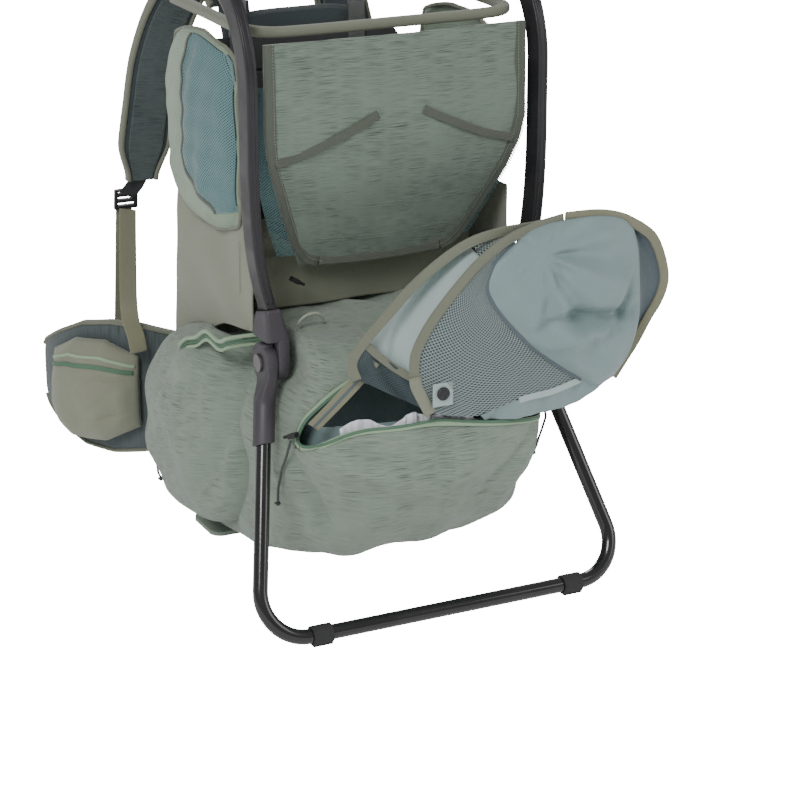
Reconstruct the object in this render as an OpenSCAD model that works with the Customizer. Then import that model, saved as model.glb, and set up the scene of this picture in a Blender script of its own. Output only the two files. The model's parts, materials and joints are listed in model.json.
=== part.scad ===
// Baby carrier backpack standing on its folding kickstand.
// Millimetres. Origin on the floor under the middle of the front base panel;
// +X to the wearer's right, +Y towards the wearer, +Z up.

/* [Frame] */
// Distance between the two spars at the cockpit, centre to centre
spar_gap = 332; // [300:1:400]
// Width of a spar across the carrier
spar_w = 12; // [10:0.5:16]
// Depth of a spar from back to front
spar_d = 27; // [22:0.5:34]
// Wall of the spar's aluminium section
spar_wall = 2; // [1.2:0.1:3]
// Height at which the spars start to bend forwards
bend_z = 560; // [520:1:680]
// Radius of the forward bend at the top of the spars
top_bend_r = 110; // [90:1:140]
// How far behind the origin the kickstand's pivot lies
hub_back = 220; // [210:1:264]
// Height of the kickstand's pivot above the floor
hub_z = 271; // [262:1:326]

/* [Kickstand] */
// Outer radius of the kickstand tube
tube_r = 8; // [6.5:0.1:9.6]
// Wall of the kickstand tube
tube_wall = 1.5; // [1:0.1:3]
// How far the floor bar stands behind the pivot
bar_back = 125; // [100:1:150]
// Half the width of the floor bar, to where its bends would meet
stance = 218; // [180:1:262]
// Centreline radius of the two lower bends
bend_r = 46; // [38:1:56]
// Thickness of a rubber foot under the bar
foot_t = 2.5; // [1.5:0.1:5]
// Radius of the pivot bolt
bolt_r = 5; // [4:0.1:6]
// Radius of the hub disc and of the arm's eye
hub_r = 21.5; // [18:0.5:25.8]
// Running clearance between the bolt and the arm's eye
run_clear = 0.08; // [0.03:0.01:0.1]

/* [Bag] */
// Half the width of the lower bag where it bulges most
bag_half = 148; // [136:1:152]
// Height of the bag's flat top
bag_top = 300; // [296:1:312]
// Thickness of the bag's fabric wall
bag_wall = 2.5; // [1.5:0.1:4]
// Depth of the stiff base panel
base_d = 70; // [50:1:80]
// Thickness of the stiff base panel
base_t = 5; // [3:0.5:8]

/* [Harness] */
// Width of the shoulder harness webbing
web_w = 20; // [15:1:25]
// Thickness of the webbing
web_t = 1.6; // [1.2:0.1:2.5]
// Thickness of a shoulder strap's padding
strap_t = 11; // [8:0.5:16]
// Width of a shoulder strap
strap_w = 58; // [48:1:70]

/* [Hidden] */
$fn = 48;

// Gap kept between soft pieces that touch on the real carrier
gap = 0.4;
// Thickness of a single layer of fabric or board
cloth_t = 2;
// Pivot axis, and the centreline of the floor bar
hub_y = -hub_back;
bar_y = hub_y - bar_back;
bar_z = tube_r + foot_t;
// Length of the kickstand's plane from pivot to bar, and how far it leans back
leg_len = sqrt(pow(bar_back, 2) + pow(hub_z - bar_z, 2));
leg_lean = atan(bar_back / (hub_z - bar_z));
// Spars: half spacing at the top, and at the hub where they lean in
spar_x = spar_gap / 2;
hub_x = spar_x - 20;
// Hub housing: thickness, lap face, and the height of its flat shoulders
hub_t = 26;
lap_gap = 0.3;
lap_x = hub_x - hub_t / 2 + 12.7;
shoulder_z = hub_z + hub_r + 4.5;
seam_z = hub_z + 56;
seam_slope = 0.3;
// Leg centreline at the pivot, and its splay
leg_x = lap_x + lap_gap + 6.6;
splay = atan((stance - leg_x) / leg_len);
// Socket at the arm's lower end
arm_len = 85;
arm_r = tube_r + 4;
socket_depth = 45;
socket_clear = 0.05;
// The pack's back plane and the base panel
back_y = base_d / 2;
sheet_t = 2;
pad_t = 14;
// Top of the side rails: angle of the forward bend and the front bar's place
rail_angle = 72;
rail_y0 = hub_y + top_bend_r * (1 - cos(rail_angle));
rail_z0 = bend_z + top_bend_r * sin(rail_angle);
front_bar_y = back_y - 18;
rail_len = (front_bar_y - rail_y0) / sin(rail_angle);
front_bar_z = rail_z0 + rail_len * cos(rail_angle);
front_bar_r = 10;
top_joint_len = 52;
// Where the seat stands and how high the cockpit is
seat_z = bag_top + 48;
rim_z = 612;

// ---- helpers -------------------------------------------------------------
function lerp(a, b, t) = a + (b - a) * t;
function sgn(v) = v < 0 ? -1 : 1;
function pw(v, n) = sgn(v) * pow(abs(v), 2 / n);
function unit(v) = v / norm(v);

// Copy for the wearer's right (+X) or left (-X) side
module on_side(s) { if (s > 0) children(); else mirror([1, 0, 0]) children(); }

// Faces that close a stack of m rings with n points each, with two end centres
function loft_faces(m, n) = concat(
  [for (i = [0 : m - 2], j = [0 : n - 1]) [i * n + j, (i + 1) * n + j, (i + 1) * n + (j + 1) % n, i * n + (j + 1) % n]],
  [for (j = [0 : n - 1]) [m * n, j, (j + 1) % n]],
  [for (j = [0 : n - 1]) [m * n + 1, (m - 1) * n + (j + 1) % n, (m - 1) * n + j]]
);
function sum_axis(v, k, i = 0) = i == len(v) ? 0 : v[i][k] + sum_axis(v, k, i + 1);
function centre(v) = [sum_axis(v, 0), sum_axis(v, 1), sum_axis(v, 2)] / len(v);

// Closed solid through a list of rings; flip turns its faces the other way round
module loft(rings, flip = false) {
  m = len(rings);
  n = len(rings[0]);
  faces = loft_faces(m, n);
  polyhedron(
    points = concat([for (r = rings) each r], [centre(rings[0]), centre(rings[m - 1])]),
    faces = flip ? [for (f = faces) [for (k = [len(f) - 1 : -1 : 0]) f[k]]] : faces,
    convexity = 8
  );
}

// Sweep of a flat outline along a path. The outline's first axis lies across
// the path and hint, its second points along hint as far as the path allows.
function tangent(p, i) = unit(p[min(i + 1, len(p) - 1)] - p[max(i - 1, 0)]);
function sweep_ring(p, i, shape, hint) =
  let (t = tangent(p, i), side = unit(cross(t, hint)), nrm = cross(side, t))
  [for (q = shape) p[i] + side * q[0] + nrm * q[1]];
module sweep(path, shape, hint = [0, 0, 1]) {
  loft([for (i = [0 : len(path) - 1]) sweep_ring(path, i, shape, hint)], flip = true);
}
// Smooth curve through a list of points, k steps to each span
function cr(a, b, c, d, t) =
  0.5 * (2 * b + (c - a) * t + (2 * a - 5 * b + 4 * c - d) * t * t + (3 * b - a - 3 * c + d) * t * t * t);
function curve(p, k = 4) = concat(
  [for (i = [0 : len(p) - 2], s = [0 : k - 1])
    cr(p[max(i - 1, 0)], p[i], p[i + 1], p[min(i + 2, len(p) - 1)], s / k)],
  [p[len(p) - 1]]
);
// Outlines for sweeping: round, and a rounded bar w wide and t thick
function round_shape(r, n = 12) = [for (i = [0 : n - 1]) r * [cos(360 * i / n), sin(360 * i / n)]];
function bar_shape(w, t, n = 16, e = 5) =
  [for (i = [0 : n - 1]) let (a = 360 * (i + 0.5) / n) [w / 2 * pw(cos(a), e), t / 2 * pw(sin(a), e)]];

// Bowed sheet: a grid of points thickened by the vector v
module sheet(grid, v) {
  m = len(grid);
  n = len(grid[0]);
  k = m * n;
  function id(i, j, b) = b * k + i * n + j;
  pts = concat([for (r = grid) each r], [for (r = grid) for (p = r) p + v]);
  faces = concat(
    [for (i = [0 : m - 2], j = [0 : n - 2]) [id(i, j, 0), id(i, j + 1, 0), id(i + 1, j + 1, 0), id(i + 1, j, 0)]],
    [for (i = [0 : m - 2], j = [0 : n - 2]) [id(i, j, 1), id(i + 1, j, 1), id(i + 1, j + 1, 1), id(i, j + 1, 1)]],
    [for (j = [0 : n - 2]) [id(0, j, 0), id(0, j, 1), id(0, j + 1, 1), id(0, j + 1, 0)]],
    [for (j = [0 : n - 2]) [id(m - 1, j, 0), id(m - 1, j + 1, 0), id(m - 1, j + 1, 1), id(m - 1, j, 1)]],
    [for (i = [0 : m - 2]) [id(i, 0, 0), id(i + 1, 0, 0), id(i + 1, 0, 1), id(i, 0, 1)]],
    [for (i = [0 : m - 2]) [id(i, n - 1, 0), id(i, n - 1, 1), id(i + 1, n - 1, 1), id(i + 1, n - 1, 0)]]
  );
  tri = [for (f = faces) each [[f[0], f[1], f[2]], [f[0], f[2], f[3]]]];
  polyhedron(points = pts, faces = tri, convexity = 6);
}

// Soft dome on the carrier's side: outline rings in the YZ plane, stepping outwards
function dome_ring(x, yc, zc, hy, hz, n, s, skew, k) =
  [for (i = [0 : k - 1]) let (a = 360 * i / k, y = hy * s * pw(cos(a), n), z = hz * s * pw(sin(a), n))
    [x, yc + y, zc + z + skew * y]];
module dome(xs, ss, yc, zc, hy, hz, n = 2.6, skew = 0, k = 36) {
  loft([for (i = [0 : len(xs) - 1]) dome_ring(xs[i], yc, zc, hy, hz, n, ss[i], skew, k)]);
}

// ---- frame ---------------------------------------------------------------
// Spar centreline of the right side, from inside the hub socket to the top joint
spar_line = concat(
  [[hub_x + 2.3, hub_y, seam_z], [hub_x + 8, hub_y, seam_z + 22], [hub_x + 14, hub_y, seam_z + 52],
   [spar_x - 2, hub_y, seam_z + 90], [spar_x, hub_y, seam_z + 140], [spar_x, hub_y, bend_z]],
  [for (a = [9 : 9 : rail_angle]) [spar_x, hub_y + top_bend_r * (1 - cos(a)), bend_z + top_bend_r * sin(a)]],
  [[spar_x, front_bar_y - 30 * sin(rail_angle), front_bar_z - 30 * cos(rail_angle)]]
);
// First ring laid in the plane of the seam, lowered by drop
function on_seam(ring, drop) = [for (q = ring) [q[0], q[1], seam_z - seam_slope * (q[1] - hub_y) - drop]];
module spar_form(w, d, longer) {
  last = len(spar_line) - 1;
  line = [for (i = [0 : last]) spar_line[i] + (i == last ? longer : 0) * [0, sin(rail_angle), cos(rail_angle)]];
  loft([for (i = [0 : last]) let (r = sweep_ring(line, i, bar_shape(d, w, 16, 7), [1, 0, 0]))
    i == 0 ? on_seam(r, longer) : r], flip = true);
}
module spar(s) {
  color("#2b2b2e") on_side(s) difference() {
    spar_form(spar_w, spar_d, 0);
    spar_form(spar_w - 2 * spar_wall, spar_d - 2 * spar_wall, 3);
  }
}
// Everything above the slanted seam of spar and socket
module seam_cut() {
  translate([hub_x, hub_y, seam_z]) rotate([atan(-seam_slope), 0, 0])
    translate([0, 0, 40]) cube([80, 120, 80], center = true);
}
module front_bar() {
  len = 2 * (spar_x - spar_w / 2) - 2 * 14;
  color("#2b2b2e") translate([-len / 2, front_bar_y, front_bar_z]) rotate([0, 90, 0])
    difference() {
      cylinder(r = front_bar_r, h = len);
      translate([0, 0, -1]) cylinder(r = front_bar_r - 1.5, h = len + 2);
    }
}
// Moulded elbows that join the side rails to the front bar
module top_joints() {
  end_x = spar_x - spar_w / 2 - 14;
  color("#3c3b3e") for (s = [-1, 1]) on_side(s) {
    difference() {
      hull() {
        translate([end_x - 12, front_bar_y, front_bar_z]) rotate([0, 90, 0]) cylinder(r = front_bar_r + 4, h = 14, $fn = 32);
        translate([spar_x, front_bar_y - 4 * sin(rail_angle), front_bar_z - 4 * cos(rail_angle)])
          rotate([90 - rail_angle, 0, 0]) cube([spar_w + 7, 34, spar_d + 5], center = true);
      }
      translate([end_x - 20, front_bar_y, front_bar_z]) rotate([0, 90, 0]) cylinder(r = front_bar_r + gap / 4, h = 20);
      translate([spar_x, front_bar_y - 31 * sin(rail_angle), front_bar_z - 31 * cos(rail_angle)])
        rotate([90 - rail_angle, 0, 0]) cube([spar_w + 2 * gap, 30, spar_d + 2 * gap], center = true);
    }
  }
}

// ---- hub and kickstand ----------------------------------------------------
// Tongue of the housing inside the hollow spar, on the hollow's own slant
tongue_gap = 1.2;
module spar_tongue() {
  translate([hub_x + 5.3, hub_y, seam_z + 11]) rotate([0, 13, 0])
    cube([spar_w - 2 * spar_wall - 2 * tongue_gap, spar_d - 2 * spar_wall - 2 * tongue_gap, 20], center = true);
}
module hub_housing(s) {
  color("#4b474b") on_side(s) difference() {
    union() {
      // inner half: round hub plate carried up to the socket
      translate([hub_x - hub_t / 2, hub_y, hub_z]) rotate([0, 90, 0]) cylinder(r = hub_r, h = lap_x - hub_x + hub_t / 2);
      translate([hub_x - hub_t / 2, hub_y - hub_r, hub_z]) cube([lap_x - hub_x + hub_t / 2, 2 * hub_r, 2 * hub_r - 8]);
      // full thickness socket block with tapered back and front
      translate([hub_x - hub_t / 2, hub_y, 0]) rotate([90, 0, 90]) linear_extrude(hub_t)
        polygon([[-hub_r, shoulder_z], [hub_r, shoulder_z], [hub_r, shoulder_z + 6],
                 [spar_d / 2 + 2, seam_z + 12], [-spar_d / 2 - 2, seam_z + 12], [-hub_r, shoulder_z + 6]]);
      // tongue inside the hollow spar
      spar_tongue();
    }
    difference() {
      seam_cut();
      spar_tongue();
    }
    // room for the arm's eye, and the bolt's hole
    translate([lap_x, hub_y, hub_z]) rotate([0, 90, 0]) cylinder(r = hub_r + 1, h = hub_t);
    translate([hub_x - hub_t, hub_y, hub_z]) rotate([0, 90, 0]) cylinder(r = bolt_r + run_clear, h = 2 * hub_t);
  }
}
// Bolt with a head outside the arm and a nut inside the housing
bolt_head_r = bolt_r + 4.5;
module pivot_bolts() {
  x_in = hub_x - hub_t / 2 - 0.3;
  x_out = hub_x + hub_t / 2 + 0.6;
  color("#77777a") for (s = [-1, 1]) on_side(s) translate([0, hub_y, hub_z]) rotate([0, 90, 0]) {
    translate([0, 0, x_in - 2.6]) cylinder(r = bolt_r, h = x_out - x_in + 4);
    translate([0, 0, x_out]) cylinder(r = bolt_head_r, h = 2.4);
    translate([0, 0, x_in - 2.6]) cylinder(r = bolt_head_r, h = 2.6);
  }
}
// The kickstand's own plane: x across, -z down the leg, leaning back from the pivot
module leg_plane() { translate([0, hub_y, hub_z]) rotate([-leg_lean, 0, 0]) children(); }
module socket_arm(s) {
  eye_t = 12.7;
  top_s = 34;
  color("#4b474b") on_side(s) difference() {
    union() {
      translate([lap_x + lap_gap, hub_y, hub_z]) rotate([0, 90, 0]) cylinder(r = hub_r, h = eye_t);
      leg_plane() hull() {
        translate([lap_x + lap_gap + 0.3, 0, -4]) rotate([0, 90, 0]) cylinder(r = hub_r - 4.5, h = eye_t - 0.6, $fn = 32);
        translate([leg_x, 0, 0]) rotate([0, -splay, 0]) translate([0, 0, -top_s - 16]) cylinder(r = arm_r - 0.4, h = 6, $fn = 32);
      }
      leg_plane() translate([leg_x, 0, 0]) rotate([0, -splay, 0]) translate([0, 0, -arm_len / cos(splay)])
        cylinder(r = arm_r, h = arm_len - top_s - 8);
    }
    translate([lap_x - 2, hub_y, hub_z]) rotate([0, 90, 0]) cylinder(r = bolt_r + run_clear, h = eye_t + 8);
    translate([lap_x + lap_gap + eye_t - 0.2, hub_y, hub_z]) rotate([0, 90, 0]) cylinder(r = bolt_head_r + 0.6, h = 12);
    leg_plane() translate([leg_x, 0, 0]) rotate([0, -splay, 0]) translate([0, 0, -arm_len / cos(splay) - 1])
      cylinder(r = tube_r + socket_clear, h = socket_depth + 1);
  }
}
// Centreline of the loop in the leg's plane, its upper ends longer by extra
bend_steps = 8;
bend_reach = bend_r / tan((90 - splay) / 2);
function half_loop(extra) =
  let (start = arm_len - (socket_depth - gap) * cos(splay) - extra, turn = 90 + splay)
  concat(
    [[leg_x + start * tan(splay), 0, -start]],
    [for (i = [bend_steps : -1 : 0]) let (a = turn * i / bend_steps)
      [stance - bend_reach + bend_r * sin(a), 0, -leg_len + bend_r * (1 - cos(a))]]
  );
function full_loop(extra) =
  let (h = half_loop(extra)) concat(h, [for (i = [len(h) - 1 : -1 : 0]) [-h[i][0], 0, h[i][2]]]);
module kickstand_tube() {
  color("#1c1c1e") leg_plane() difference() {
    sweep(full_loop(0), round_shape(tube_r, 24), [0, 1, 0]);
    sweep(full_loop(1), round_shape(tube_r - tube_wall, 24), [0, 1, 0]);
  }
}
// Rubber saddles pushed on to the straight of the floor bar
foot_x = stance - bend_reach - 12;
foot_len = 22;
module kickstand_feet() {
  color("#333134") for (x = [-foot_x, foot_x]) translate([x - foot_len / 2, bar_y, bar_z]) rotate([0, 90, 0]) difference() {
    union() {
      cylinder(r = tube_r + foot_t, h = foot_len);
      translate([0, -tube_r * 0.8, 0]) cube([tube_r + foot_t, tube_r * 1.6, foot_len]);
    }
    translate([0, 0, -1]) cylinder(r = tube_r + socket_clear, h = foot_len + 2);
  }
}

// ---- back panel and base ---------------------------------------------------
stay_t = 3;
front_y = back_y - sheet_t - stay_t - 2 * gap;
sheet_half = 128;
sheet_top = 560;
module back_sheet() {
  color("#2f3033") translate([0, back_y, 0]) rotate([90, 0, 0]) linear_extrude(sheet_t) difference() {
    offset(r = 24) square_between([-sheet_half + 24, base_t + 30], [sheet_half - 24, sheet_top - 24]);
    // slots that the harness webbing is threaded through
    for (z = [430 : 30 : 520], s = [-1, 1]) translate([s * 34, z]) square([34, 5], center = true);
  }
}
module square_between(a, b) { translate(a) square(b - a); }
module back_stays() {
  stay_x = 72;
  stay_y = back_y - sheet_t - gap / 2 - stay_t;
  color("#9a9a9c") for (s = [-1, 1]) difference() {
    union() {
      translate([s * stay_x - 10, stay_y, base_t + 26]) cube([20, stay_t, front_bar_z - base_t - 14]);
      translate([s * stay_x - 10, front_bar_y, front_bar_z - 12]) cube([20, stay_y - front_bar_y + 1, 24]);
    }
    translate([-sheet_half, front_bar_y, front_bar_z]) rotate([0, 90, 0]) cylinder(r = front_bar_r + 0.05, h = 2 * sheet_half);
  }
}
// Stiff tray that the loaded pack stands on
base_half = 142;
module base_panel() {
  color("#3a3b3c") translate([0, 0, 0]) linear_extrude(base_t) offset(r = 14)
    square([2 * base_half - 28, base_d - 28], center = true);
}
// Bent tube that ties the two hub housings to the back stays
rail_r = 6;
rail_z = bag_top + rail_r + 6;
rail_x = hub_x - 7;
rail_front_y = front_y - rail_r - 2;
module lower_frame() {
  r = 30;
  y0 = hub_y + hub_r + gap;
  color("#2b2b2e") translate([0, 0, rail_z]) {
    for (s = [-1, 1]) on_side(s) {
      translate([rail_x, y0, 0]) rotate([-90, 0, 0]) cylinder(r = rail_r, h = rail_front_y - r - y0);
      translate([rail_x - r, rail_front_y - r, 0]) rotate_extrude(angle = 90) translate([r, 0]) circle(r = rail_r);
    }
    translate([-rail_x + r, rail_front_y, 0]) rotate([0, 90, 0]) cylinder(r = rail_r, h = 2 * (rail_x - r));
  }
}
module foam(x, y0, t, z0, z1, e = 5) {
  k = 28;
  zc = (z0 + z1) / 2;
  hz = (z1 - z0) / 2;
  loft([for (q = [[0, 0.97], [0.2, 1], [0.75, 0.98], [1, 0.9]])
    [for (i = [0 : k - 1]) let (a = 360 * i / k) [x * q[1] * pw(cos(a), e), y0 + q[0] * t, zc + hz * q[1] * pw(sin(a), e)]]], flip = true);
}
module back_pad() { color("#4d5354") foam(112, back_y + gap, pad_t, 262, 500); }
module lumbar_pad() { color("#4d5354") foam(132, back_y + gap, pad_t + 6, 84, 244); }
module drool_pad() {
  color("#7f8578") translate([0, front_bar_y - front_bar_r - 16, front_bar_z - 26]) rotate([0, 90, 0])
    loft([for (q = [[-104, 0.6], [-96, 0.92], [-60, 1], [60, 1], [96, 0.92], [104, 0.6]])
      [for (i = [0 : 23]) let (a = 15 * i) [26 * q[1] * pw(cos(a), 3), 13 * q[1] * pw(sin(a), 3), q[0]]]]);
}

// ---- lower bag --------------------------------------------------------------
// One row a level: front inset, front height, rear edge from the pivot, rear height, half width, rear roundness
bag_levels = [
  [14, base_t + 2, 70, 40, 124, 2.4],
  [4, base_t + 5, 34, 41, 136, 2.4],
  [1, 34, -30, 52, bag_half - 5, 2.3],
  [0, 80, -85, 84, bag_half - 2, 2.3],
  [0, 128, -118, 128, bag_half, 2.4],
  [0, 172, -131, 172, bag_half + 4, 2.9],
  [0, 204, -128, 205, bag_half + 1, 3.2],
  [0, 236, -118, 236, bag_half - 8, 3.4],
  [0, 262, -102, 264, hub_x - 20, 4.5],
  [0, 284, -82, 287, hub_x - 20, 5],
  [4, bag_top, -62, bag_top, hub_x - 25, 5]
];
bag_mid = 60;
function bag_ring(q, g, dz, k) =
  let (yf = front_y - q[0] + min(g, 0), yr = hub_y + q[2] - g, ym = hub_y + bag_mid, w = q[4] + g)
  [for (i = [0 : k - 1]) let (a = 360 * i / k, n = sin(a) > 0 ? 7 : q[5],
      x = w * pw(cos(a), n),
      y = sin(a) > 0 ? ym + (yf - ym) * pw(sin(a), n) : ym + (ym - yr) * pw(sin(a), n))
    [x, y, lerp(q[3], q[1], (y - yr) / (yf - yr)) + dz]];
// The bag's outside, grown (g > 0) or shrunk (g < 0)
module bag_form(g = 0, k = 44) {
  m = len(bag_levels);
  loft([for (i = [0 : m - 1]) bag_ring(bag_levels[i], g, i < 2 ? -g : i == m - 1 ? g : 0, k)]);
}
// Opening of the big rear zip, seen from behind
mouth = [
  [-150, 206], [-120, 221], [-86, 225], [-29, 222], [41, 213], [88, 206], [118, 199], [146, 187],
  [146, 193], [126, 232], [80, 264], [0, 279], [-97, 275], [-125, 262], [-143, 244], [-152, 226]
];
module mouth_cut(y0 = -160, y1 = -22) {
  translate([0, hub_y + y1, 0]) rotate([90, 0, 0]) linear_extrude(y1 - y0) children();
}
module lower_bag() {
  color("#7d877c") difference() {
    bag_form(0);
    bag_form(-bag_wall);
    mouth_cut() polygon(mouth);
  }
}
// Zip tape round the mouth, lying on the bag
tape_w = 7;
module main_zip() {
  color("#a0b49b") difference() {
    intersection() {
      bag_form(gap + 1.6);
      difference() {
        mouth_cut() offset(delta = tape_w) polygon(mouth);
        mouth_cut(-170, 0) offset(delta = 1) polygon(mouth);
      }
    }
    bag_form(gap);
  }
}
// Bag's rear face at the height of the lip, as a distance behind the bag's widest line
function lip_y(x, inset = 0) =
  let (w = bag_half + 1 - inset, d = bag_mid + 128 - inset) hub_y + bag_mid - d * pow(1 - pow(min(abs(x) / w, 0.999), 3.2), 1 / 3.2);
// Crinkled liner edge that stands up inside the lower lip
module rain_cover() {
  n = 20;
  color("#e4e6ea") sheet([for (i = [0 : n]) let (x = lerp(-112, 46, i / n), top = 230 - 0.06 * abs(x) + 2 * sin(i * 110))
    [for (j = [0 : 3]) let (z = lerp(186, top, j / 3)) [x, lip_y(x, bag_wall + 3.5 + 0.3 * max(0, z - 200)), z]]], [0, cloth_t, 0]);
}
// Webbing that keeps the sunshade's foot in its pocket
module retainer_webbing() {
  color("#7d7d6b") sweep(curve([[-126, hub_y - 62, 224], [-118, hub_y - 80, 240], [-112, hub_y - 96, 258]], 3),
    bar_shape(14, web_t, 8), [0, -1, 0.2]);
}

// ---- side pockets ------------------------------------------------------------
pocket_x = [120, bag_half + 2, bag_half + 20, bag_half + 38, bag_half + 48, bag_half + 54];
pocket_s = [1, 1, 0.95, 0.82, 0.62, 0.34];
pocket_y = [150, 150, 153, 163, 172, 178];
module pocket_form(g = 0) {
  k = 36;
  loft([for (i = [0 : len(pocket_x) - 1])
    dome_ring(pocket_x[i] + g, hub_y + pocket_y[i], 152, 98 + g, 116 + g, 2.6, pocket_s[i], -0.16, k)]);
}
side_x = hub_x + 4;
module side_pocket(s) {
  color("#7d877c") on_side(s) difference() {
    pocket_form();
    bag_form(gap, 44);
    translate([side_x - gap, hub_y, 0]) rotate([90, 0, 90]) linear_extrude(cloth_t + 2 * gap) offset(delta = gap) side_outline();
    translate([0, front_y, 0]) cube([400, 100, 400]);
    translate([0, -base_d / 2 - 5, -60]) cube([400, base_d + 20, 60 + base_t + gap]);
    side_room();
  }
}
// Clear of the hub housing and of everything the folding leg passes
module side_room() {
  translate([0, hub_y - 120, 0]) cube([400, 120 + hub_r + 6, 500]);
  for (a = [0 : 10 : 50]) translate([0, hub_y, hub_z]) rotate([a - leg_lean, 0, 0]) translate([leg_x, 0, 0]) rotate([0, -splay, 0])
    translate([0, 0, -leg_len]) cylinder(r = arm_r + 3, h = leg_len, $fn = 16);
}
// Side zips: a coil along the pocket's rear and top edge
module side_zips() {
  color("#a0b49b") for (s = [-1, 1]) on_side(s) sweep(
    curve([for (a = [152 : -16 : 24]) let (q = 0.97) [bag_half + 21 + 22 * pow(max(0, cos(a)), 2), hub_y + 153 + 90 * pw(cos(a), 2.6),
      153 + 112 * pw(sin(a), 2.6) - 0.16 * 90 * pw(cos(a), 2.6)]], 2),
    round_shape(2.6, 8), [1, 0, 0]);
}

// ---- upper soft panels ---------------------------------------------------------
// Outlines in the YZ plane, with y counted from the pivot
module side_outline() {
  polygon([[68, bag_top + 22], [hub_back + front_y, 222], [hub_back + front_y, 384], [30, 384], [30, 346]]);
}
module side_panel(s) {
  color("#86857a") on_side(s) translate([side_x, hub_y, 0]) rotate([90, 0, 90]) linear_extrude(cloth_t) side_outline();
}
module wing(s) {
  color("#8fa39a") on_side(s) dome([side_x, side_x + 4, side_x + 16, side_x + 24], [0.97, 1, 0.9, 0.6],
    hub_y + 150, 490, 96, 102, 3.6, 0, 32);
}
// Rear wall of the child's seat: half width and distance behind the seat at each height
panel_rows = [[336, 97, 54], [352, 104, 38], [376, 116, 21], [400, 129, 12], [440, 140, 4], [480, 146, 0], [540, 148, 0], [604, 148, 2]];
module seat_back_panel() {
  n = 8;
  t = 6;
  color("#6f7a75") sheet([for (q = panel_rows) [for (j = [0 : n]) let (u = 2 * j / n - 1)
    [q[1] * u, hub_y + q[2] - 8 * (1 - u * u), q[0]]]], [0, t, 0]);
}
// Firm block that the seat stands on; its rear face is the plain band
module seat_band() {
  color("#77766c") translate([-hub_x + 20, hub_y + 78, bag_top + gap]) cube([2 * hub_x - 40, 144, 36]);
}
module cockpit_rim() {
  x = spar_x - spar_w / 2 - 10;
  y1 = front_y - 12;
  y0 = hub_y + 16;
  color("#8a8a7c") sweep(curve([[-x, y1, rim_z], [-x, y1 - 90, rim_z], [-x, y0 + 45, rim_z], [-x + 14, y0 + 10, rim_z], [-x + 50, y0, rim_z],
    [x - 50, y0, rim_z], [x - 14, y0 + 10, rim_z], [x, y0 + 45, rim_z], [x, y1 - 90, rim_z], [x, y1, rim_z]], 4),
    bar_shape(11, 13, 12, 3), [0, 0, 1]);
}
// Small gear loop sewn to the shelf
module cord_loop() {
  color("#b9bdae") translate([-94, hub_y + 14, bag_top + 2]) rotate([28, 0, -20]) rotate([90, 0, 0])
    rotate_extrude(angle = 180) translate([14, 0]) circle(r = 1.6);
}

// ---- child seat -----------------------------------------------------------------
seat_y = hub_y + 150;
module seat_cushion() {
  color("#5c6468") loft([for (q = [[0, 0.9], [5, 1], [20, 1], [28, 0.84]])
    [for (i = [0 : 31]) let (a = 360 * i / 32) [74 * q[1] * pw(cos(a), 3), seat_y + 66 * q[1] * pw(sin(a), 3), seat_z - 8 + q[0]]]]);
}
module child_harness() {
  color("#3f4446") for (s = [-1, 1]) on_side(s)
    sweep(curve([[40, hub_y + 32, 552], [44, hub_y + 50, 574], [46, hub_y + 86, 566], [44, hub_y + 116, 520], [34, hub_y + 128, 470], [23, hub_y + 132, 430]], 3),
      bar_shape(3, 24, 10), [1, 0, 0]);
}
module child_buckle() {
  color("#2c2d30") {
    translate([0, hub_y + 132, 412]) rotate([90, 0, 0]) linear_extrude(9, center = true) offset(r = 6) square([34, 22], center = true);
    translate([-10, hub_y + 130, seat_z + 21]) cube([20, 2.4, 412 - 17 - seat_z - 20]);
  }
}

// ---- shoulder harness --------------------------------------------------------------
harness_y = back_y + gap;
module yoke() {
  color("#4d5354") foam(84, harness_y + 1, 12, 514, 586, 4);
}
strap_line = [[64, harness_y + 26, 596], [72, harness_y + 48, 622], [84, harness_y + 82, 620], [104, harness_y + 110, 576],
              [122, harness_y + 120, 520], [134, harness_y + 118, 462], [140, harness_y + 122, 416], [142, harness_y + 128, 376]];
module shoulder_strap(s) {
  p = curve(strap_line, 3);
  color("#4a4e50") on_side(s) {
    sweep(p, bar_shape(strap_t, strap_w, 16, 4), [1, 0, 0]);
    // root that is sewn to the yoke's top
    translate([46, harness_y + 15, 552]) rotate([-24, 0, 0]) cube([36, 8, 46]);
  }
}
lock_at = [158, harness_y + 140, 352];
module ladder_locks() {
  color("#3c3c3e") for (s = [-1, 1]) on_side(s) translate(lock_at) rotate([8, 0, 0]) difference() {
    cube([web_w + 8, 5, 24], center = true);
    for (z = [-6, 1.5]) translate([0, 0, z]) cube([web_w + 1, 8, 3.4], center = true);
    translate([0, 0, 8.4]) cube([web_w + 1, 8, 2.4], center = true);
  }
}
module strap_webbing(s) {
  color("#83826f") on_side(s) {
    // free tail
    sweep(curve([lock_at + [1, 5, -14], lock_at + [4, 6, -80], lock_at + [9, 4, -160], lock_at + [14, 2, -238]], 4),
      bar_shape(web_t, web_w, 8), [1, 0, 0]);
    // strand down to the pack's side
    sweep(curve([lock_at + [0, -5, -14], lock_at + [12, -34, -52], lock_at + [32, -86, -90], lock_at + [44, -124, -106], lock_at + [44, -140, -122], lock_at + [42, -142, -140]], 4),
      bar_shape(web_t, web_w, 8), [1, 0, 0]);
  }
}
module sternum_strap() {
  z = 500;
  y = harness_y + 120 + strap_t;
  color("#34363a") {
    translate([-104, y + 1, z - 8]) cube([208, 2, 16]);
    translate([0, y + 6, z]) rotate([90, 0, 0]) linear_extrude(8, center = true) offset(r = 4) square([44, 18], center = true);
  }
}
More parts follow.
